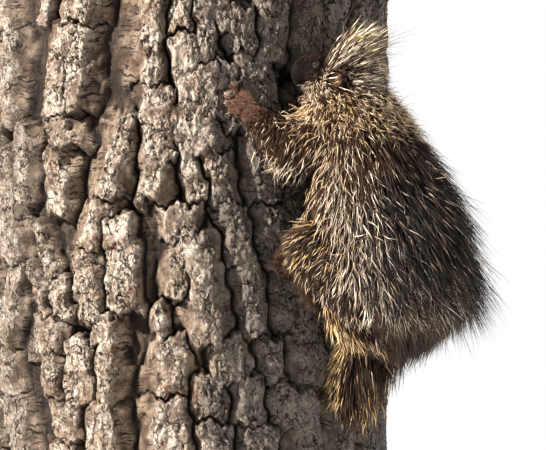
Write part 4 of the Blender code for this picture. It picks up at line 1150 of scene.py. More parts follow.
def head_shapes():
    """The bare head: skull, muzzle, chin, lips, cheeks, brows, lids and the rims of the nostrils."""
    head_up = head_direction(0, 0, 1)
    stations = [(on_head(x, 0, z), width, depth) for x, z, width, depth in HEAD_STATIONS]
    shapes = [beads(stations, lambda centre: head_up)]

    def lump(x, y, z, length, width, height):
        axes = (head_direction(length, 0, 0), head_direction(0, width, 0), head_direction(0, 0, height))
        shapes.append(ellipsoid(on_head(x, y, z), axes))

    lump(0.068, 0, 0.006, 0.0085, 0.0165, 0.0130)
    lump(0.048, 0, -0.025, 0.019, 0.014, 0.011)
    for side in (-1, 1):
        lump(0.061, side * 0.0115, -0.010, 0.014, 0.011, 0.012)
        lump(0.014, side * 0.024, -0.018, 0.026, 0.016, 0.019)
        lump(0.036, side * 0.0215, 0.022, 0.017, 0.009, 0.007)
        axis = eye_axis(side)
        shapes.append(ring_tube(eye_centre(side) + axis * 0.0022, axis, EYE_RADIUS + 0.0008, 0.0020))
        shapes.append(ring_tube(on_head(0.0755, side * 0.0078, 0.006), head_direction(1, side * 0.2, 0),
                                0.0034, 0.0013, 0.75))
    return shapes


def ear_shape(side):
    """A small round ear with a cup, a thick rim and a ridge inside it."""
    centre, across, mouth, rise = ear_axes(side)
    axes = (across * EAR_WIDTH / 2, mouth * 0.0075, rise * EAR_HEIGHT / 2)
    ear = new_object("ear", *ellipsoid(centre, axes, unit_ball(4)))
    hollow_axes = (across * (EAR_WIDTH / 2 - 0.0024), mouth * 0.0085, rise * (EAR_HEIGHT / 2 - 0.0026))
    hollow = ellipsoid(centre + mouth * 0.0058 + rise * 0.0014, hollow_axes, unit_ball(4))
    return combine(ear, [new_object("hollow", *hollow)], "DIFFERENCE")


def points_and_faces(shape):
    """Takes an object's points and faces and removes it."""
    points = [vertex.co.copy() for vertex in shape.data.vertices]
    faces = [list(polygon.vertices) for polygon in shape.data.polygons]
    bpy.data.objects.remove(shape)
    return points, faces


def build_head_skin():
    """The head's skin with the eye sockets, nostrils and mouth cut into it."""
    ears = [points_and_faces(ear_shape(side)) for side in SIDES.values()]
    head = blob("head_skin", head_shapes() + ears, 0.0011, 4)
    cutters = []
    for side in SIDES.values():
        ball = ellipsoid(eye_centre(side), [Vector(row) * (EYE_RADIUS + 0.0003) for row in np.eye(3)])
        cutters.append(new_object("socket", *ball))
        nostril = ellipsoid(on_head(0.0765, side * 0.0078, 0.006), nostril_axes(side))
        cutters.append(new_object("nostril", *nostril))
    mesh = head.data
    tree = BVHTree.FromPolygons([v.co for v in mesh.vertices], [list(p.vertices) for p in mesh.polygons])
    line = []
    for share in np.linspace(-1, 1, 33):
        start = on_head(0.024 + 0.034 * (1 - abs(share)), 0, -0.019)
        swing = math.radians(78) * share
        aim = head_direction(math.cos(swing), math.sin(swing), 0.02).normalized()
        line.append(tree.ray_cast(start, aim)[0] + aim * 0.0004)
    radii = [0.0004 + 0.0012 * math.cos(share * math.pi / 2) ** 0.5 for share in np.linspace(-0.98, 0.98, 33)]
    cutters.append(new_object("mouth", *tube(line, radii, 8)))
    return combine(head, cutters, "DIFFERENCE")


def digit_shapes(digits, middle, side):
    """The bare digits of a paw, each with a knuckle and a pad at its tip."""
    shapes = []
    for turn, up, tip_turn, tip_up in digits:
        knuckle = by_hips(middle + side * turn, DIGIT_OUT, up)
        tip = by_hips(middle + side * tip_turn, DIGIT_OUT * 0.9, tip_up)
        ahead = (tip - knuckle).normalized()
        back = knuckle - ahead * 0.012
        radii = [DIGIT_RADIUS, DIGIT_RADIUS * 1.08, DIGIT_RADIUS * 0.86, DIGIT_RADIUS * 0.62]
        shapes.append(tube([back, knuckle, (knuckle + tip) / 2, tip + ahead * 0.002], radii))
        pad = tip - outward(tip) * 0.0022 - ahead * 0.001
        size = DIGIT_RADIUS * 0.72
        shapes.append(ellipsoid(pad, [Vector(row) * size for row in np.eye(3)]))
    return shapes


def build_skin():
    """One closed skin of the whole animal."""
    def head_up(centre):
        return head_direction(0, 0, 1)

    inner_head = [(on_head(x, 0, z), width - 0.002, depth - 0.002) for x, z, width, depth in HEAD_STATIONS[:4]]
    shapes = [beads(placed(BODY_STATIONS), outward), beads(placed(TAIL_STATIONS), outward)]
    shapes.append(beads(inner_head, head_up))
    paws = []
    for side in SIDES.values():
        shapes.append(beads(placed(FORELIMB, FORE_MIDDLE, side), outward))
        shapes.append(beads(placed(THIGH, HIND_MIDDLE, side), outward))
        shapes.append(beads(placed(SHANK, HIND_MIDDLE, side), outward))
        for stations, digits, middle in ((FOREPAW, FORE_DIGITS, FORE_MIDDLE), (HINDPAW, HIND_DIGITS, HIND_MIDDLE)):
            paw = [beads(placed(stations, middle, side), outward)] + digit_shapes(digits, middle, side)
            paws.append(blob("paw_skin", paw, 0.0014, 3))
    skin = blob("skin", shapes, 0.0032, 6)
    combine(skin, [build_head_skin()] + paws, "UNION")
    skin.data.materials.clear()
    skin.data.materials.append(skin_material())
    skin.data.shade_smooth()
    return skin


# Regions of the skin

REGION_STATIONS = {
    "body": (BODY_STATIONS, 0, (1,)),
    "tail": (TAIL_STATIONS, 0, (1,)),
    "upper_arm": (FORELIMB[: ELBOW + 1], FORE_MIDDLE, (1, -1)),
    "forearm": (FORELIMB[ELBOW:], FORE_MIDDLE, (1, -1)),
    "forepaw": (FOREPAW, FORE_MIDDLE, (1, -1)),
    "thigh": (THIGH, HIND_MIDDLE, (1, -1)),
    "shank": (SHANK, HIND_MIDDLE, (1, -1)),
    "hindpaw": (HINDPAW, HIND_MIDDLE, (1, -1)),
}
SIDE_WORDS = {1: "left", -1: "right"}


def region_beads():
    """The centre line of every region: names, and arrays of centres, radii, ways and how far along."""
    names = []
    rows = []

    def add(name, stations):
        closer = between(stations)
        for i, (centre, width, depth, along) in enumerate(closer):
            rows.append((*centre, (width + depth) / 2, *along, i / max(1, len(closer) - 1)))
            names.append(name)

    for region, (stations, middle, sides) in REGION_STATIONS.items():
        for side in sides:
            name = region if len(sides) == 1 else f"{region}_{SIDE_WORDS[side]}"
            add(name, placed(stations, middle, side))
    add("head", [(on_head(x, 0, z), width, depth) for x, z, width, depth in HEAD_STATIONS])
    return np.array(names), np.array(rows)


BEAD_NAMES, BEAD_ROWS = region_beads()


def nearest_beads(points):
    """The bead whose surface each point is nearest to."""
    found = np.empty(len(points), int)
    for start in range(0, len(points), 20000):
        part = points[start:start + 20000]
        distance = np.linalg.norm(part[:, None] - BEAD_ROWS[None, :, :3], axis=-1) - BEAD_ROWS[None, :, 3]
        found[start:start + 20000] = np.argmin(distance, axis=1)
    return found


def regions_at(points):
    """The name of the region that each point belongs to. The body's upper end is the neck."""
    names = BEAD_NAMES[nearest_beads(points)].astype("U20")
    up = points[:, 2] - HIP_HEIGHT
    away = outwards(points)
    lean = dot(points - np.array(by_hips(49.2, 0.088, NECK_START)), away) * 0.15
    names[(names == "body") & (up > NECK_START + lean)] = "neck"
    for side, word in SIDE_WORDS.items():
        centre = np.array(ear_axes(side)[0])
        names[np.linalg.norm(points - centre, axis=1) < EAR_HEIGHT * 0.56] = f"ear_{word}"
    return names


def unwrapped(points):
    """Places on an unwrap of the skin: how far round its centre line, and how far along it."""
    beads_here = BEAD_ROWS[nearest_beads(points)]
    away = points - beads_here[:, :3]
    along = beads_here[:, 4:7]
    away = away - along * dot(away, along)[:, None]
    side = unit(np.cross(along, np.array((0.31, 0.17, 0.93))))
    front = np.cross(along, side)
    turn = np.arctan2(dot(away, side), dot(away, front)) / (2 * math.pi) + 0.5
    return np.stack((turn, beads_here[:, 7] + 0.02 * dot(points - beads_here[:, :3], along)), axis=-1)


class Skin:
    """The skin's triangles, their areas and the region of each, to root the coat on."""

    def __init__(self, mesh):
        self.points = points_of(mesh)
        self.normals = normals_of(mesh)
        self.triangles = triangles_of(mesh)
        corners = self.points[self.triangles]
        cross = np.cross(corners[:, 1] - corners[:, 0], corners[:, 2] - corners[:, 0])
        self.areas = np.linalg.norm(cross, axis=1) / 2
        self.centres = corners.mean(axis=1)
        self.facing = unit(cross)
        self.regions = regions_at(self.centres)

    def roots(self, count, draw, weights):
        """Random places on the skin and its smooth normals there, as many as the weights ask."""
        total = np.cumsum(self.areas * weights)
        pick = np.searchsorted(total, draw.uniform(0, total[-1], count))
        share = draw.uniform(0, 1, (2, count))
        folded = share.sum(axis=0) > 1
        share[:, folded] = 1 - share[:, folded]
        parts = np.stack((1 - share.sum(axis=0), share[0], share[1]), axis=1)[:, :, None]
        corners = self.triangles[pick]
        places = (self.points[corners] * parts).sum(axis=1)
        return places, unit((self.normals[corners] * parts).sum(axis=1))

    def area(self, weights):
        return float((self.areas * weights).sum())


# Hairs


def hair_triangles(rings):
    """Triangles of one three-sided hair, and where their corners lie on its patch."""
    triangles = [(2, 1, 0)]
    patch = [((0.66, -0.06), (0.33, -0.12), (0.0, -0.06))]
    for ring in range(rings - 1):
        low, high = ring / rings, (ring + 1) / rings
        for k in range(3):
            a, b = ring * 3 + k, ring * 3 + (k + 1) % 3
            left, right = k / 3, (k + 1) / 3
            triangles += [(a, b, b + 3), (a, b + 3, a + 3)]
            patch += [((left, low), (right, low), (right, high)), ((left, low), (right, high), (left, high))]
    last = (rings - 1) * 3
    for k in range(3):
        triangles.append((last + k, last + (k + 1) % 3, rings * 3))
        patch.append(((k / 3, (rings - 1) / rings), ((k + 1) / 3, (rings - 1) / rings), ((k + 0.5) / 3, 1.0)))
    return np.array(triangles), np.array(patch)


def hair_taper(share):
    """A guard hair's width along it: full from near the root, then drawn out to its tip."""
    return np.minimum(1.0, 0.62 + 1.3 * share) * (1 - 0.62 * share**2)


def quill_taper(share):
    return np.minimum(1.0, 0.7 + 2 * share) * (1 - 0.35 * share**3)


def fur_taper(share):
    return 1 - 0.45 * share


def centre_lines(roots, normals, flows, kind, lengths, draw):
    """The points along every hair, from its sunk root to its tip, and the way across each hair.

    A hair leaves the skin at the kind's lift and bends over towards the flow. droop lets its end hang,
    and stray turns each hair a little its own way.
    """
    count = len(roots)
    flows = unit(flows - normals * dot(flows, normals)[:, None])
    flows = unit(flows + draw.normal(0, kind["stray"], (count, 3)))
    flows = unit(flows - normals * dot(flows, normals)[:, None])
    sides = unit(np.cross(flows, normals))
    lift = np.radians(kind["lift"] + draw.normal(0, kind["lift_stray"], count))
    drop = np.radians(kind["bend"] * draw.uniform(0.6, 1.4, count))
    shares = np.linspace(0, 1, kind["rings"] + 1)
    first = flows * np.cos(lift)[:, None] + normals * np.sin(lift)[:, None]
    line = [roots - first * kind["sink"]]
    place = roots
    for low, high in zip(shares, shares[1:]):
        angle = lift - drop * (low + high) / 2
        heading = flows * np.cos(angle)[:, None] + normals * np.sin(angle)[:, None]
        heading = unit(heading + DOWN * kind["droop"] * high + draw.normal(0, kind["frizz"], (count, 3)))
        place = place + heading * (lengths * (high - low))[:, None]
        line.append(place)
    return np.stack(line, axis=1), sides, shares


def clumped(lines, shares, roots, tightness, share_of_leaders, draw):
    """Draws the ends of neighbouring hairs together, into locks that follow one hair among them."""
    count = len(roots)
    leaders = draw.choice(count, max(1, int(count * share_of_leaders)), replace=False)
    owner = np.empty(count, int)
    for start in range(0, count, 4000):
        part = roots[start:start + 4000]
        distance = np.linalg.norm(part[:, None] - roots[leaders][None], axis=-1)
        owner[start:start + 4000] = leaders[np.argmin(distance, axis=1)]
    pull = (tightness * draw.uniform(0.3, 1.0, count))[:, None] * shares[None, :] ** 1.5
    return lines + (lines[owner] - lines) * pull[:, :, None]


def clear_of_bark(lines):
    """Hairs that would enter the trunk lie along its bark."""
    radius = np.linalg.norm(lines[..., :2], axis=-1)
    least = TRUNK_RADIUS + BARK_CLEARANCE
    lines[..., :2] *= np.maximum(1.0, least / np.maximum(radius, 1e-6))[..., None]
    return lines


def hair_mesh(name, lines, sides, shares, widths, kind, roots, values):
    """One mesh of closed tapered hairs with their stored values and a patch of the bake map each."""
    count, rings = len(lines), kind["rings"]
    swell = kind["taper"](shares[:-1])
    points = []
    for k in range(rings):
        heading = unit(lines[:, k + 1] - lines[:, k])
        across = unit(sides - heading * dot(sides, heading)[:, None])
        up = np.cross(heading, across) * -1
        half = (widths * swell[k] / 2)[:, None]
        thick = (widths * swell[k] * kind["flatness"])[:, None]
        points += [lines[:, k] - across * half - up * thick / 3,
                   lines[:, k] + across * half - up * thick / 3,
                   lines[:, k] + up * thick * 2 / 3]
    points.append(lines[:, -1])
    points = np.stack(points, axis=1)
    triangles, patch = hair_triangles(rings)
    each = points.shape[1]
    faces = triangles[None] + (np.arange(count) * each)[:, None, None]
    mesh = mesh_from_triangles(name, points.reshape(-1, 3), faces.reshape(-1, 3))
    centres = unwrapped(roots)
    low = centres.min(axis=0)
    centres = 0.01 + 0.975 * (centres - low) / np.maximum(centres.max(axis=0) - low, 1e-6)
    bake = mesh.uv_layers.new(name="OFBake")
    corners = centres[:, None, None] + patch[None] * PATCH
    bake.data.foreach_set("uv", corners.astype(np.float32).ravel())
    along = np.repeat(np.append(np.repeat(shares[:-1], 3), 1.0)[None], count, axis=0)
    set_values(mesh, "along", along.ravel())
    for label, numbers in values.items():
        set_values(mesh, label, np.repeat(np.broadcast_to(numbers, (count,)), each))
    return mesh


def kind_of_hair(length, width, lift, bend, rings=3, **changes):
    """What one kind of hair is like. Lengths and widths in metres, angles in degrees."""
    kind = {
        "length": length, "width": width, "lift": lift, "bend": bend, "rings": rings, "sink": 0.003,
        "stray": 0.12, "lift_stray": 5.0, "droop": 0.0, "frizz": 0.0, "taper": hair_taper, "flatness": 0.7,
        "spread": 0.16, "clump": 0.0, "leaders": 0.1,
    }
    kind.update(changes)
    return kind


def grow(name, skin, count, weights, flow, kind, marks, material, slot, length, keep=None):
    """One piece of the coat, rooted where the weights are.

    flow(places, normals) gives the lie, marks(places, normals, draw) the stored values, length the share
    of the kind's length, and keep says which hairs stay.
    """
    draw = np.random.default_rng(list(name.encode()))
    roots, normals = skin.roots(count, draw, weights)
    lengths = kind["length"] * length(roots, normals) * draw.normal(1, kind["spread"], count).clip(0.5, 1.5)
    widths = kind["width"] * draw.uniform(0.7, 1.25, count)
    lines, sides, shares = centre_lines(roots, normals, flow(roots, normals), kind, lengths, draw)
    if kind["clump"]:
        lines = clumped(lines, shares, roots, kind["clump"], kind["leaders"], draw)
    lines = clear_of_bark(lines)
    values = {"chance": draw.uniform(0, 1, count), "bands": 0.0, **marks(roots, normals, draw)}
    stay = np.all((lines > COAT_LOW) & (lines < COAT_HIGH), axis=(1, 2))
    if keep is not None:
        stay &= keep(roots, lines)
    values = {label: np.broadcast_to(numbers, (count,))[stay] for label, numbers in values.items()}
    mesh = hair_mesh(name, lines[stay], sides[stay], shares, widths[stay], kind, roots[stay], values)
    piece = shown(name, mesh, material)
    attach(piece, "root")


# Lie of the coat


def torso_flow(places, normals):
    """From the shoulders down the body, out at the rump, and swirling a little."""
    low = smooth_step(0.12, -0.06, places[:, 2] - HIP_HEIGHT)
    side = smooth_step(0.2, 0.8, np.abs(dot(normals, leftwards(places))))
    out = (0.75 * low * (1 - 0.5 * side))[:, None]
    centre = np.array(by_hips(*COAT_CENTRE))
    swirl = 0.45 * noise(places, 0.045, 31)[:, None] * leftwards(places)
    down = (0.7 - 0.4 * low * (1 - side))[:, None]
    return DOWN * down + unit(places - centre) + outwards(places) * out + swirl


def neck_flow(places, normals):
    return unit(places - np.array(on_head(0.020, 0, -0.004))) + DOWN * 0.25


def crest_flow(places, normals):
    return unit(places - np.array(on_head(0.036, 0, -0.020)))


def face_flow(places, normals):
    """Back from the nose over the muzzle."""
    local = in_head(places)
    back = np.array(head_direction(-1, 0, 0))
    sideways = np.array(head_direction(0, 1, 0)) * np.sign(local[:, 1])[:, None]
    return back + sideways * 0.25


def cheek_flow(places, normals):
    """Away from the eye, back over the cheek and down under the chin."""
    local = in_head(places)
    fans = [unit(places - np.array(eye_centre(side))) for side in (-1, 1)]
    return np.where(local[:, 1:2] > 0, fans[1], fans[0]) + DOWN * 0.35


def ear_flow(places, normals):
    return np.where(in_head(places)[:, 1:2] > 0, np.array(ear_axes(1)[3]), np.array(ear_axes(-1)[3]))


def tail_flow(places, normals):
    """Down the tail, fanned out a little to its sides and more on its outer face."""
    sideways, out = leftwards(places), outwards(places)
    fan = sideways * dot(normals, sideways)[:, None] * 0.35 + out * np.maximum(dot(normals, out), 0)[:, None] * 0.8
    return DOWN + fan


def arm_flow(side):
    stations = placed(FORELIMB, FORE_MIDDLE, side)
    along = np.array((stations[-1][0] - stations[ELBOW][0]).normalized())

    def flow(places, normals):
        return DOWN + along * 0.45

    return flow


def thigh_flow(side):
    centre = np.array(by_hips(HIND_MIDDLE + side * 8, 0.16, 0.07))

    def flow(places, normals):
        return unit(places - centre) * 0.7 + DOWN * 0.8

    return flow


def chest_flow(places, normals):
    """Hanging from the breast and the armpits, in towards the trunk."""
    side = np.sign(dot(normals, leftwards(places)))[:, None]
    return DOWN - outwards(places) * 0.35 + leftwards(places) * side * 0.35


def down_flow(places, normals):
    return np.broadcast_to(DOWN, places.shape)


def hand_length(places, normals):
    """Short on the fingers."""
    knuckles = [np.array(by_hips(FORE_MIDDLE + side * 26.5, DIGIT_OUT, 0.267)) for side in (-1, 1)]
    past = np.min([np.linalg.norm(places - knuckle, axis=1) for knuckle in knuckles], axis=0)
    return 0.6 + 0.4 * smooth_step(0.010, 0.028, past)


def paw_flow(stations, middle, side):
    line = placed(stations, middle, side)
    along = np.array((line[-1][0] - line[0][0]).normalized())

    def flow(places, normals):
        return np.broadcast_to(along, places.shape) + DOWN * 0.25

    return flow


# Markings of the coat. Each gives the values stored on the hairs: how pale their ends are, how golden,
# how banded, and how red their dark part is.


def redness(places):
    """Red-brown at the shoulders and arms, which fades to black towards the back and the rump."""
    up = places[:, 2] - HIP_HEIGHT
    apart = np.linalg.norm(places - np.array(around(62, 0.06, HIP_HEIGHT + 0.235)), axis=1)
    near = smooth_step(0.20, 0.05, apart)
    belly = smooth_step(0.5, -0.4, dot(unit(places - np.array(by_hips(42, 0.11, 0.1))), outwards(places)))
    flank = smooth_step(0.75, 0.30, dot(unit(places - np.array(by_hips(47, 0.11, 0.1))), outwards(places)))
    flank = flank * smooth_step(-0.12, -0.02, up)
    return np.clip(0.85 * near + 0.55 * belly + 0.30 * flank + 0.2 * noise(places, 0.05, 44) * (up > 0), 0, 1)


def dark_marks(places, normals, draw):
    """Hairs that stay dark to their ends."""
    count = len(places)
    return {"pale": draw.uniform(0, 0.12, count), "gold": 0.4, "red": redness(places) * draw.uniform(0.5, 1, count)}


def tip_marks(gold, spread=0.22):
    """Hairs with pale ends. gold(places, normals) says how golden those are."""

    def marks(places, normals, draw):
        count = len(places)
        return {
            "pale": draw.uniform(0.85, 1.0, count),
            "gold": np.clip(gold(places, normals) + draw.normal(0, spread, count), 0, 1),
            "red": redness(places),
        }

    return marks


def thigh_band(up, out, left):
    """Where the coat of the flank turns golden, from the thigh down to the tail."""
    return smooth_step(0.03, -0.04, up) * smooth_step(0.3, 0.7, np.abs(left)) * smooth_step(0.55, 0.1, out)


def torso_gold(places, normals):
    """Pinkish cream on the flank, more golden at the shoulder, along the chest and low over the thigh."""
    up = places[:, 2] - HIP_HEIGHT
    left = dot(normals, leftwards(places))
    out = dot(normals, outwards(places))
    high = smooth_step(0.14, 0.24, up)
    chest = smooth_step(0.1, -0.4, out)
    side = smooth_step(0.60, 0.15, out)
    return 0.08 + 0.22 * side + 0.35 * high + 0.45 * chest + thigh_band(up, out, left) + 0.12 * noise(places, 0.04, 41)


def chest_gold(places, normals):
    return 0.55 + 0.25 * noise(places, 0.03, 48)


def neck_gold(places, normals):
    return 0.52 + 0.25 * noise(places, 0.03, 42)


def leg_gold(places, normals):
    """Golden over the knee and along the thigh's front, paler behind it."""
    knee = smooth_step(-0.01, 0.05, places[:, 2] - HIP_HEIGHT)
    return 0.34 + 0.42 * knee + 0.3 * noise(places, 0.04, 43)


def arm_gold(places, normals):
    return 0.20 + 0.2 * noise(places, 0.03, 45)


def tail_gold(places, normals):
    return 0.75 + 0.2 * noise(places, 0.03, 46)


def quill_marks(places, normals, draw):
    count = len(places)
    return {"pale": 0.9, "gold": draw.uniform(0.1, 0.5, count), "bands": 0.7, "red": 0.0}


def crest_marks(places, normals, draw):
    """Cream quills with dark bands, and yellow ones towards the top of the crest."""
    top = smooth_step(0.0, 0.03, in_head(places)[:, 2] + 0.012 * noise(places, 0.010, 47))
    count = len(places)
    return {
        "pale": draw.uniform(0.8, 1.0, count), "gold": np.clip(0.02 + 0.5 * top + draw.normal(0, 0.2, count), 0, 1),
        "bands": draw.uniform(0.2, 0.9, count), "red": 0.3,
    }


def crest_dark_marks(places, normals, draw):
    count = len(places)
    return {"pale": draw.uniform(0, 0.3, count), "gold": 0.4, "red": draw.uniform(0.2, 0.9, count)}


def face_edge(local):
    """How far in front of the edge of the dark face a place of the head is."""
    return local[:, 0] - 0.026 - 0.62 * np.maximum(0, -local[:, 2])


def face_marks(places, normals, draw):
    """Nearly black, with a red-brown bridge of the nose."""
    local = in_head(places)
    count = len(places)
    bridge = smooth_step(0.010, 0.024, local[:, 2]) * smooth_step(0.02, 0.05, local[:, 0])
    return {"pale": draw.uniform(0, 0.06, count), "gold": 0.8, "red": 0.05 + 0.35 * bridge}


def cheek_marks(places, normals, draw):
    count = len(places)
    behind = smooth_step(0.004, -0.006, face_edge(in_head(places)))
    return {"pale": behind * draw.uniform(0.8, 1, count), "gold": draw.uniform(0.0, 0.6, count), "red": 0.7}


def ear_marks(places, normals, draw):
    count = len(places)
    return {"pale": draw.uniform(0, 0.35, count), "gold": 0.9, "red": draw.uniform(0.3, 0.9, count)}


def hand_marks(places, normals, draw):
    """Orange-brown fur that pales to tan at the fingers' tips."""
    count = len(places)
    tips = [np.array(by_hips(FORE_MIDDLE + side * 28.6, DIGIT_OUT, 0.272)) for side in (-1, 1)]
    apart = np.min([np.linalg.norm(places - tip, axis=1) for tip in tips], axis=0)
    rim = smooth_step(0.020, 0.006, apart)
    return {
        "pale": np.clip(draw.uniform(0.02, 0.45, count) + 0.35 * rim, 0, 1),
        "gold": np.clip(draw.uniform(0.85, 1.0, count) - 0.25 * rim, 0, 1), "red": 0.8,
    }


def foot_marks(places, normals, draw):
    count = len(places)
    return {"pale": draw.uniform(0.0, 0.25, count), "gold": 0.95, "red": draw.uniform(0.3, 0.8, count)}


# Coat

UNDER = kind_of_hair(0.034, 0.0021, 26, 14, 2, taper=fur_taper, stray=0.20)
GUARD = kind_of_hair(0.050, 0.0015, 23, 14, 3, droop=0.20, clump=0.25, leaders=0.10, stray=0.18)
BACK_GUARD = kind_of_hair(0.070, 0.0013, 30, 16, 4, droop=0.25, clump=0.25, leaders=0.08, stray=0.16)
OUTER = kind_of_hair(0.090, 0.0008, 36, 12, 4, droop=0.25, clump=0.15, stray=0.20, spread=0.20)
RUMP_GUARD = kind_of_hair(0.088, 0.0009, 46, 10, 4, droop=0.12, clump=0.45, stray=0.16, spread=0.20)
TIPPED = kind_of_hair(0.064, 0.0012, 33, 18, 4, droop=0.12, stray=0.36, lift_stray=8, frizz=0.16, spread=0.22)
CHEST_TIP = kind_of_hair(0.054, 0.0012, 24, 12, 4, droop=0.30, stray=0.26, frizz=0.14, spread=0.22)
BODY_QUILL = kind_of_hair(0.052, 0.0013, 34, 10, 3, taper=quill_taper, stray=0.24)
NECK_DARK = kind_of_hair(0.032, 0.0014, 38, 22, 3, stray=0.25)
NECK_TIP = kind_of_hair(0.038, 0.0011, 44, 26, 3, stray=0.36, lift_stray=9, frizz=0.30, spread=0.22)
CREST_QUILL = kind_of_hair(0.074, 0.0013, 46, 10, 4, taper=quill_taper, stray=0.15, lift_stray=9, spread=0.28,
                           clump=0.45, leaders=0.10)
CREST_DARK = kind_of_hair(0.064, 0.0011, 44, 12, 4, stray=0.16, lift_stray=9, spread=0.32, clump=0.4, leaders=0.10)
CREST_WISP = kind_of_hair(0.096, 0.0006, 36, 12, 4, stray=0.20, lift_stray=10, spread=0.26)
FACE_FUR = kind_of_hair(0.0065, 0.0007, 16, 10, 2, taper=fur_taper, sink=0.001)
CHEEK_FUR = kind_of_hair(0.022, 0.0011, 34, 22, 3, sink=0.002, stray=0.32, frizz=0.22)
EAR_FUR = kind_of_hair(0.007, 0.0007, 24, 10, 2, taper=fur_taper, sink=0.001)
TAIL_DARK = kind_of_hair(0.044, 0.0015, 28, 14, 3, clump=0.3, leaders=0.08)
TAIL_TIP = kind_of_hair(0.050, 0.0013, 28, 14, 4, stray=0.22, clump=0.35, leaders=0.10, frizz=0.08)
ARM_DARK = kind_of_hair(0.028, 0.0012, 18, 12, 3, droop=0.1, stray=0.16)
ARM_TIP = kind_of_hair(0.048, 0.0010, 24, 14, 4, droop=0.1, stray=0.24, frizz=0.12, spread=0.22)
THIGH_DARK = kind_of_hair(0.032, 0.0013, 18, 12, 3, droop=0.15, stray=0.18)
THIGH_TIP = kind_of_hair(0.040, 0.0012, 20, 14, 4, droop=0.12, stray=0.34, clump=0.15, leaders=0.15, frizz=0.15)
SHANK_HAIR = kind_of_hair(0.034, 0.0010, 18, 12, 3)
HAND_FUR = kind_of_hair(0.0145, 0.0006, 13, 12, 2, taper=fur_taper, sink=0.0015, stray=0.16)
FOOT_FUR = kind_of_hair(0.0150, 0.0008, 20, 12, 2, taper=fur_taper, sink=0.0015, stray=0.24)
WHISKER = kind_of_hair(0.040, 0.0004, 22, -12, 4, sink=0.001, stray=0.15)


def off_eyes(roots, lines):
    """Keeps hairs that leave the eyes and the mouth free."""
    free = np.ones(len(roots), bool)
    for side in SIDES.values():
        eye = np.array(eye_centre(side) + eye_axis(side) * 0.003)
        free &= np.linalg.norm(lines - eye, axis=-1).min(axis=1) > EYE_RADIUS + 0.0004
    return free & (in_head(roots)[:, 0] < 0.0735)


def off_ears(roots, lines):
    """Keeps hairs that leave the ears in sight."""
    free = np.ones(len(roots), bool)
    for side in SIDES.values():
        centre, across, mouth, rise = ear_axes(side)
        ear = np.array(centre + mouth * 0.004)
        free &= np.linalg.norm(lines[:, 1:] - ear, axis=-1).min(axis=1) > EAR_HEIGHT * 0.46
    return free


def torso_length(places, normals):
    """Longer over the rump, shorter under it and towards the neck."""
    up = places[:, 2] - HIP_HEIGHT
    low = smooth_step(0.20, -0.02, up)
    behind = smooth_step(0.1, 0.8, dot(normals, outwards(places)))
    hem = smooth_step(0.02, -0.06, up) * (1 - 0.5 * behind)
    under = smooth_step(-0.15, -0.65, normals[:, 2])
    high = smooth_step(0.10, 0.25, up)
    return (1 + 0.10 * behind + 0.20 * behind * low) * (1 - 0.45 * hem) * (1 - 0.40 * under) * (1 - 0.30 * high)


def plain_length(places, normals):
    return np.ones(len(places))


def crest_length(places, normals):
    """Longest over the forehead, short behind the ears."""
    local = in_head(places)
    return 0.34 + 0.66 * smooth_step(-0.030, 0.004, local[:, 0] - 0.3 * np.maximum(0, -local[:, 2]))


def arm_length(places, normals):
    """Longer under the arm, and short towards the wrist."""
    wrists = [np.array(placed(FORELIMB, FORE_MIDDLE, side)[-1][0]) for side in (-1, 1)]
    apart = np.min([np.linalg.norm(places - wrist, axis=1) for wrist in wrists], axis=0)
    return (0.75 + 0.45 * smooth_step(0.3, -0.5, normals[:, 2])) * (0.45 + 0.55 * smooth_step(0.008, 0.06, apart))


def tail_length(places, normals):
    """Shorter towards the tip of the tail, longer on its outer face."""
    behind = smooth_step(0.0, 0.7, dot(normals, outwards(places)))
    return 1.1 + 0.60 * behind - 0.5 * smooth_step(-0.15, -0.23, places[:, 2] - HIP_HEIGHT)


def thigh_length(places, normals):
    """Shorter where the thigh faces the trunk."""
    return 1 - 0.4 * smooth_step(0.2, -0.5, dot(normals, outwards(places)))


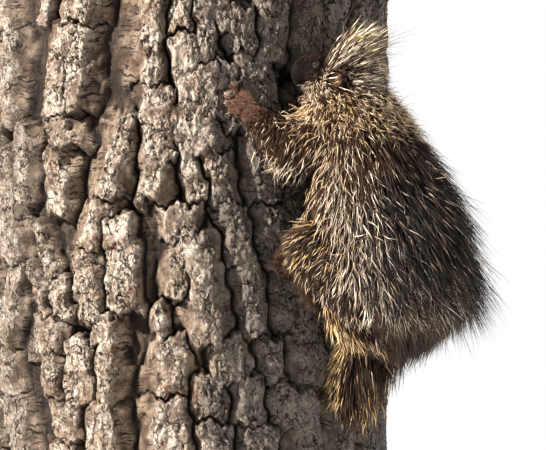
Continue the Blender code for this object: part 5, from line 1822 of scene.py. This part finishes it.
def build_coat(skin):
    """Every piece of the coat, each with the share of the skin that it covers."""
    dark, shaft = (0.0028, 0.0020, 0.0020), (0.0065, 0.0042, 0.0042)
    coat = hair_material("guard_hair", dark, shaft, CREAM, GOLDEN)
    # The back's hairs have a bluish shaft: painted reflection of blue sky on black hair, for a bluish rim along the
    # back.
    cool = hair_material("back_hair_painted_sky", dark, (0.0060, 0.0058, 0.0092), CREAM, GOLDEN)
    quills = hair_material("quills", (0.26, 0.18, 0.11), (0.018, 0.011, 0.008), CREAM, YELLOW)
    brown = hair_material("short_fur", (0.005, 0.003, 0.0025), (0.006, 0.0038, 0.0032), CREAM, (0.165, 0.088, 0.046))
    regions, facing, centres = skin.regions, skin.facing, skin.centres
    away = dot(facing, outwards(centres))
    leftness = dot(facing, leftwards(centres))
    up = centres[:, 2] - HIP_HEIGHT

    def is_in(*names):
        return np.isin(regions, names).astype(float)

    # The neck's coat and the torso's thin out over each other's skin.
    trunk_skin = is_in("body", "neck")
    neckward = smooth_step(NECK_START - 0.035, NECK_START + 0.02, up)
    body = trunk_skin * (1 - neckward)
    neck = trunk_skin * neckward + is_in("upper_arm_left", "upper_arm_right") * 0.20 * smooth_step(0.19, 0.24, up)
    back = smooth_step(0.40, 0.75, away)
    left = smooth_step(-0.15, 0.15, leftness) * (1 - back)
    right = (1 - smooth_step(-0.15, 0.15, leftness)) * (1 - back)
    facing_out = smooth_step(-0.75, -0.25, away)

    band = 1 + 0.7 * thigh_band(up, away, leftness)
    band = band * (1 - 0.25 * smooth_step(0.45, 0.80, away)) * (0.10 + 0.90 * smooth_step(0.0, 0.60, away))
    band = band * (1 - 0.85 * smooth_step(-0.05, -0.10, up) * smooth_step(0.80, 0.50, leftness))
    over_back = np.maximum(1 - smooth_step(0.60, 0.88, away), 0.6 * smooth_step(0.05, -0.02, up))
    tipped = smooth_step(-0.15, 0.15, leftness) * over_back
    torso_tips = tip_marks(torso_gold)
    breast = smooth_step(0.15, -0.45, away) * smooth_step(0.02, 0.08, up)
    corner = smooth_step(0.5, 0.8, away) * smooth_step(-0.06, -0.03, up) * smooth_step(0.06, 0.02, up)
    for name, count, weights, kind, marks, material in (
        ("coat_under_high", 4300, body * (up > 0.08), UNDER, dark_marks, coat),
        ("coat_under_low", 5000, body * (up <= 0.08), UNDER, dark_marks, coat),
        ("coat_back", 5600, body * back, BACK_GUARD, dark_marks, cool),
        ("coat_flank_left", 6200, body * left * facing_out, GUARD, dark_marks, coat),
        ("coat_flank_right", 3600, body * right * facing_out, GUARD, dark_marks, coat),
        ("coat_belly", 2300, body * (1 - facing_out), GUARD, dark_marks, coat),
        ("coat_outer", 1300, body * smooth_step(0.35, 0.7, away), OUTER, dark_marks, cool),
        ("coat_rump", 420, body * corner, RUMP_GUARD, dark_marks, cool),
        ("tips_left", 1400, body * tipped * facing_out * band, TIPPED, torso_tips, coat),
        ("tips_right", 800, body * right * facing_out * band, TIPPED, torso_tips, coat),
        ("tips_back", 240, body * back, TIPPED, torso_tips, coat),
        ("quills_back", 420, body * smooth_step(-0.3, 0.3, away), BODY_QUILL, quill_marks, quills),
    ):
        grow(name, skin, count, weights, torso_flow, kind, marks, material, "coat_back", torso_length)
    breast = (body + is_in("upper_arm_left", "upper_arm_right")) * breast
    grow("tips_chest", skin, 300, breast, chest_flow, CHEST_TIP, tip_marks(chest_gold), coat, "coat_back", plain_length)
    neck_tips = tip_marks(neck_gold, 0.2)
    grow("coat_neck", skin, 3600, neck, neck_flow, NECK_DARK, dark_marks, coat, "coat_neck", plain_length, off_ears)
    grow("tips_neck", skin, 3500, neck, neck_flow, NECK_TIP, neck_tips, coat, "coat_neck", plain_length, off_ears)

    local = in_head(centres)
    head = is_in("head")
    ear_room = np.minimum(*(np.linalg.norm(centres - np.array(ear_axes(side)[0]), axis=1) for side in (-1, 1)))
    crest = head * (local[:, 0] < 0.022) * (local[:, 2] > -0.012) * (ear_room > 0.015)
    for name, count, kind, marks, material in (
        ("crest", 640, CREST_QUILL, crest_marks, quills),
        ("crest_dark", 1700, CREST_DARK, crest_dark_marks, coat),
        ("crest_wisps", 190, CREST_WISP, crest_dark_marks, cool),
    ):
        grow(name, skin, count, crest, crest_flow, kind, marks, material, "coat_head", crest_length, off_ears)

    edge = face_edge(local)
    face = head * (edge > -0.010)
    cheeks = head * (edge < 0.002) * (local[:, 2] < 0.018) * (ear_room > 0.012)
    muzzle = head * (local[:, 0] > 0.046) * (local[:, 0] < 0.066) * (np.abs(local[:, 1]) > 0.010)
    muzzle = muzzle * (np.abs(local[:, 2] + 0.006) < 0.010)
    for name, count, weights, flow, kind, marks, material, slot in (
        ("face_fur", 8500, face, face_flow, FACE_FUR, face_marks, brown, "coat_head"),
        ("cheek_fur", 2200, cheeks, cheek_flow, CHEEK_FUR, cheek_marks, coat, "coat_head"),
        ("ear_fur", 700, is_in("ear_left", "ear_right"), ear_flow, EAR_FUR, ear_marks, brown, "ear"),
        ("whiskers", 30, muzzle, face_flow, WHISKER, dark_marks, coat, "coat_head"),
    ):
        off = off_ears if name == "cheek_fur" else off_eyes
        grow(name, skin, count, weights, flow, kind, marks, material, slot, plain_length, off)

    hem = is_in("body") * smooth_step(-0.005, -0.05, up)
    tail = is_in("tail") + 0.7 * hem * (1 + smooth_step(0.2, 0.7, away))
    tail_sides = is_in("tail") * (0.04 + smooth_step(0.0, -0.5, away) + 0.15 * smooth_step(0.5, 0.9, away))
    tail_sides = tail_sides * (0.20 + 0.80 * smooth_step(-0.3, 0.4, leftness))
    tail_sides = tail_sides + 0.5 * hem * smooth_step(0.35, 0.80, leftness) * smooth_step(0.6, 0.2, away)
    grow("coat_tail", skin, 4400, tail, tail_flow, TAIL_DARK, dark_marks, coat, "coat_tail", tail_length)
    grow("tips_tail", skin, 760, tail_sides, tail_flow, TAIL_TIP, tip_marks(tail_gold), coat, "coat_tail", tail_length)

    for side, word in SIDE_WORDS.items():
        wrist = np.array(placed(FORELIMB, FORE_MIDDLE, side)[-1][0])
        from_wrist = np.linalg.norm(centres - wrist, axis=1)
        hand = is_in(f"forepaw_{word}") + is_in(f"forearm_{word}") * smooth_step(0.036, 0.006, from_wrist)
        arms = is_in(f"upper_arm_{word}", f"forearm_{word}") * (0.3 + 0.7 * smooth_step(0.0, 0.045, from_wrist))
        below = arms * (0.45 + smooth_step(0.45, -0.25, facing[:, 2]))
        thigh, shank = is_in(f"thigh_{word}"), is_in(f"shank_{word}")
        share = 1.0 if word == "left" else 0.5
        hand_flow = paw_flow(FOREPAW, FORE_MIDDLE, side)
        foot_flow = paw_flow(HINDPAW, HIND_MIDDLE, side)
        for name, count, weights, flow, kind, marks, material, slot, length in (
            ("coat_arm", 3000, arms, arm_flow(side), ARM_DARK, dark_marks, coat, "coat_leg", arm_length),
            ("tips_arm", 210, below, arm_flow(side), ARM_TIP, tip_marks(arm_gold), coat, "coat_leg", arm_length),
            ("coat_thigh", 2500, thigh, thigh_flow(side), THIGH_DARK, dark_marks, coat, "coat_leg", thigh_length),
            ("tips_thigh", 410, thigh, thigh_flow(side), THIGH_TIP, tip_marks(leg_gold), coat, "coat_leg", thigh_length),
            ("coat_shank", 1700, shank, down_flow, SHANK_HAIR, dark_marks, coat, "coat_leg", plain_length),
            ("fur_hand", 5600, hand, hand_flow, HAND_FUR, hand_marks, brown, "paw", hand_length),
            ("fur_foot", 3600, is_in(f"hindpaw_{word}"), foot_flow, FOOT_FUR, foot_marks, brown, "paw", plain_length),
        ):
            grow(f"{name}_{word}", skin, int(count * share), weights, flow, kind, marks, material, slot, length)


def finish_skin(skin_object, skin):
    """Stores the coat's markings and the bare nose on the skin, and hands it over."""
    mesh = skin_object.data
    points, normals = skin.points, skin.normals
    names = regions_at(points)
    gold = np.clip(torso_gold(points, normals), 0, 1) * 0.3
    for name, tone in (("neck", 0.4), ("tail", 0.2), ("forepaw_left", 0.7), ("forepaw_right", 0.7)):
        gold = np.where(names == name, tone, gold)
    local = in_head(points)
    on_face = (names == "head") * smooth_step(0.03, 0.045, local[:, 0])
    set_values(mesh, "gold", gold * (1 - on_face))
    set_values(mesh, "bare", (names == "head") * smooth_step(0.071, 0.0735, local[:, 0]))
    cup = np.min([np.linalg.norm(points - np.array(ear_axes(side)[0]), axis=1) for side in (-1, 1)], axis=0)
    set_values(mesh, "tan", np.char.startswith(names, "ear") * smooth_step(0.0165, 0.012, cup))
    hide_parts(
        "head", "neck", "torso", "tail", "ear_left", "ear_right",
        *(f"{part}_{word}" for part in ("upper_arm", "forearm", "forepaw", "thigh", "shank", "hindpaw")
          for word in SIDES),
    )
    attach(skin_object, "root")


# Eyes and claws


def build_eyes():
    material = eye_material()
    for word, side in SIDES.items():
        eye = new_object(f"eye_{word}_ball", *ellipsoid(Vector((0, 0, 0)), [Vector(r) * EYE_RADIUS for r in np.eye(3)],
                                                       unit_ball(5)), material)
        eye.data.shade_smooth()
        eye.matrix_world = Matrix.Translation(eye_centre(side)) @ eye_axis(side).to_track_quat("Z", "Y").to_matrix().to_4x4()
        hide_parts(f"eye_{word}")
        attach(eye, "root")


def build_claws():
    """Curved claws that hook into the bark, one mesh for each paw."""
    material = claw_material()
    for word, side in SIDES.items():
        for paw, digits, middle in (("fore", FORE_DIGITS, FORE_MIDDLE), ("hind", HIND_DIGITS, HIND_MIDDLE)):
            shapes = []
            shares = []
            for turn, up, tip_turn, tip_up in digits:
                knuckle = by_hips(middle + side * turn, DIGIT_OUT, up)
                tip = by_hips(middle + side * tip_turn, DIGIT_OUT * 0.9, tip_up)
                ahead = (tip - knuckle).normalized()
                rise = outward(tip)
                root = tip - ahead * 0.002 + rise * 0.001
                line = []
                radii = []
                steps = 9
                for step in range(steps):
                    share = step / (steps - 1)
                    hook = 0.0040 * share - 0.0102 * share * share
                    line.append(root + ahead * CLAW_LENGTH * share + rise * hook)
                    radii.append(CLAW_RADIUS * (1 - 0.9 * share**1.6))
                shapes.append(tube(line, radii, 10))
                shares += [step / (steps - 1) for step in range(steps) for k in range(10)]
            claws = new_object(f"claws_{paw}_{word}", *gather(shapes), material)
            set_values(claws.data, "along", np.array(shares))
            claws.data.shade_smooth()
            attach(claws, "root")


# Studio


def build_light(name, place, aim, energy, size, color):
    """A round soft lamp that shines from a place towards another."""
    lamp = bpy.data.lights.new(name, "AREA")
    lamp.energy = energy
    lamp.color = color
    lamp.shape = "DISK"
    lamp.size = size
    holder = bpy.data.objects.new(name, lamp)
    holder.location = place
    holder.rotation_mode = "QUATERNION"
    holder.rotation_quaternion = (Vector(aim) - Vector(place)).to_track_quat("-Z", "Y")
    bpy.context.scene.collection.objects.link(holder)


def build_studio():
    """A round pale floor before plain white, with a warm key light from the upper left and a cool fill."""
    material, graph, shader = new_material("studio_paper", Roughness=0.9)
    speck = graph.noise(graph.place(), 3.0)
    graph.feed(shader.inputs["Base Color"], graph.mix(speck, (0.82, 0.82, 0.82), (0.86, 0.86, 0.86)))
    count = 96
    points = [(FLOOR_RADIUS * math.cos(2 * math.pi * k / count), FLOOR_RADIUS * math.sin(2 * math.pi * k / count), 0)
              for k in range(count)]
    floor = new_object("studio_floor", points, [list(range(count))], material)

    build_light("key", (-3.9, -2.1, 3.3), (0.1, -0.2, 0.5), 1500, 0.28, (1.0, 0.95, 0.88))
    build_light("fill", (3.0, -3.7, 1.9), (0.2, 0, 0.5), 105, 1.6, (1.0, 0.97, 0.93))
    build_light("rim", (2.6, 2.2, 1.6), (0.3, -0.2, 0.45), 120, 1.2, (0.72, 0.80, 1.0))
    world = bpy.data.worlds.new("studio")
    bpy.context.scene.world = world
    world.use_nodes = True
    graph = Graph(world.node_tree)
    soft = world.node_tree.nodes["Background"]
    soft.inputs["Color"].default_value = (0.90, 0.94, 1.0, 1)
    soft.inputs["Strength"].default_value = 0.30
    white = graph.node("ShaderNodeBackground")
    white.inputs["Color"].default_value = (1, 1, 1, 1)
    seen = graph.node("ShaderNodeMixShader")
    graph.feed(seen.inputs[0], graph.node("ShaderNodeLightPath").outputs["Is Camera Ray"])
    graph.feed(seen.inputs[1], soft.outputs[0])
    graph.feed(seen.inputs[2], white.outputs[0])
    graph.feed(world.node_tree.nodes["World Output"].inputs["Surface"], seen.outputs[0])
    bpy.context.scene.view_settings.view_transform = "Standard"


def build_camera():
    lens = bpy.data.cameras.new("camera")
    lens.sensor_width = SENSOR
    lens.lens = SENSOR * CAMERA_REACH / (FRAME_WIDTH * METRES_PER_PIXEL)
    camera = bpy.data.objects.new("camera", lens)
    camera.location = CAMERA_PLACE
    camera.rotation_euler = (math.radians(90), 0, 0)
    bpy.context.scene.collection.objects.link(camera)
    bpy.context.scene.camera = camera


build_camera()
build_studio()
build_trunk()
build_stand()
skin_object = build_skin()
skin = Skin(skin_object.data)
build_coat(skin)
finish_skin(skin_object, skin)
build_eyes()
build_claws()
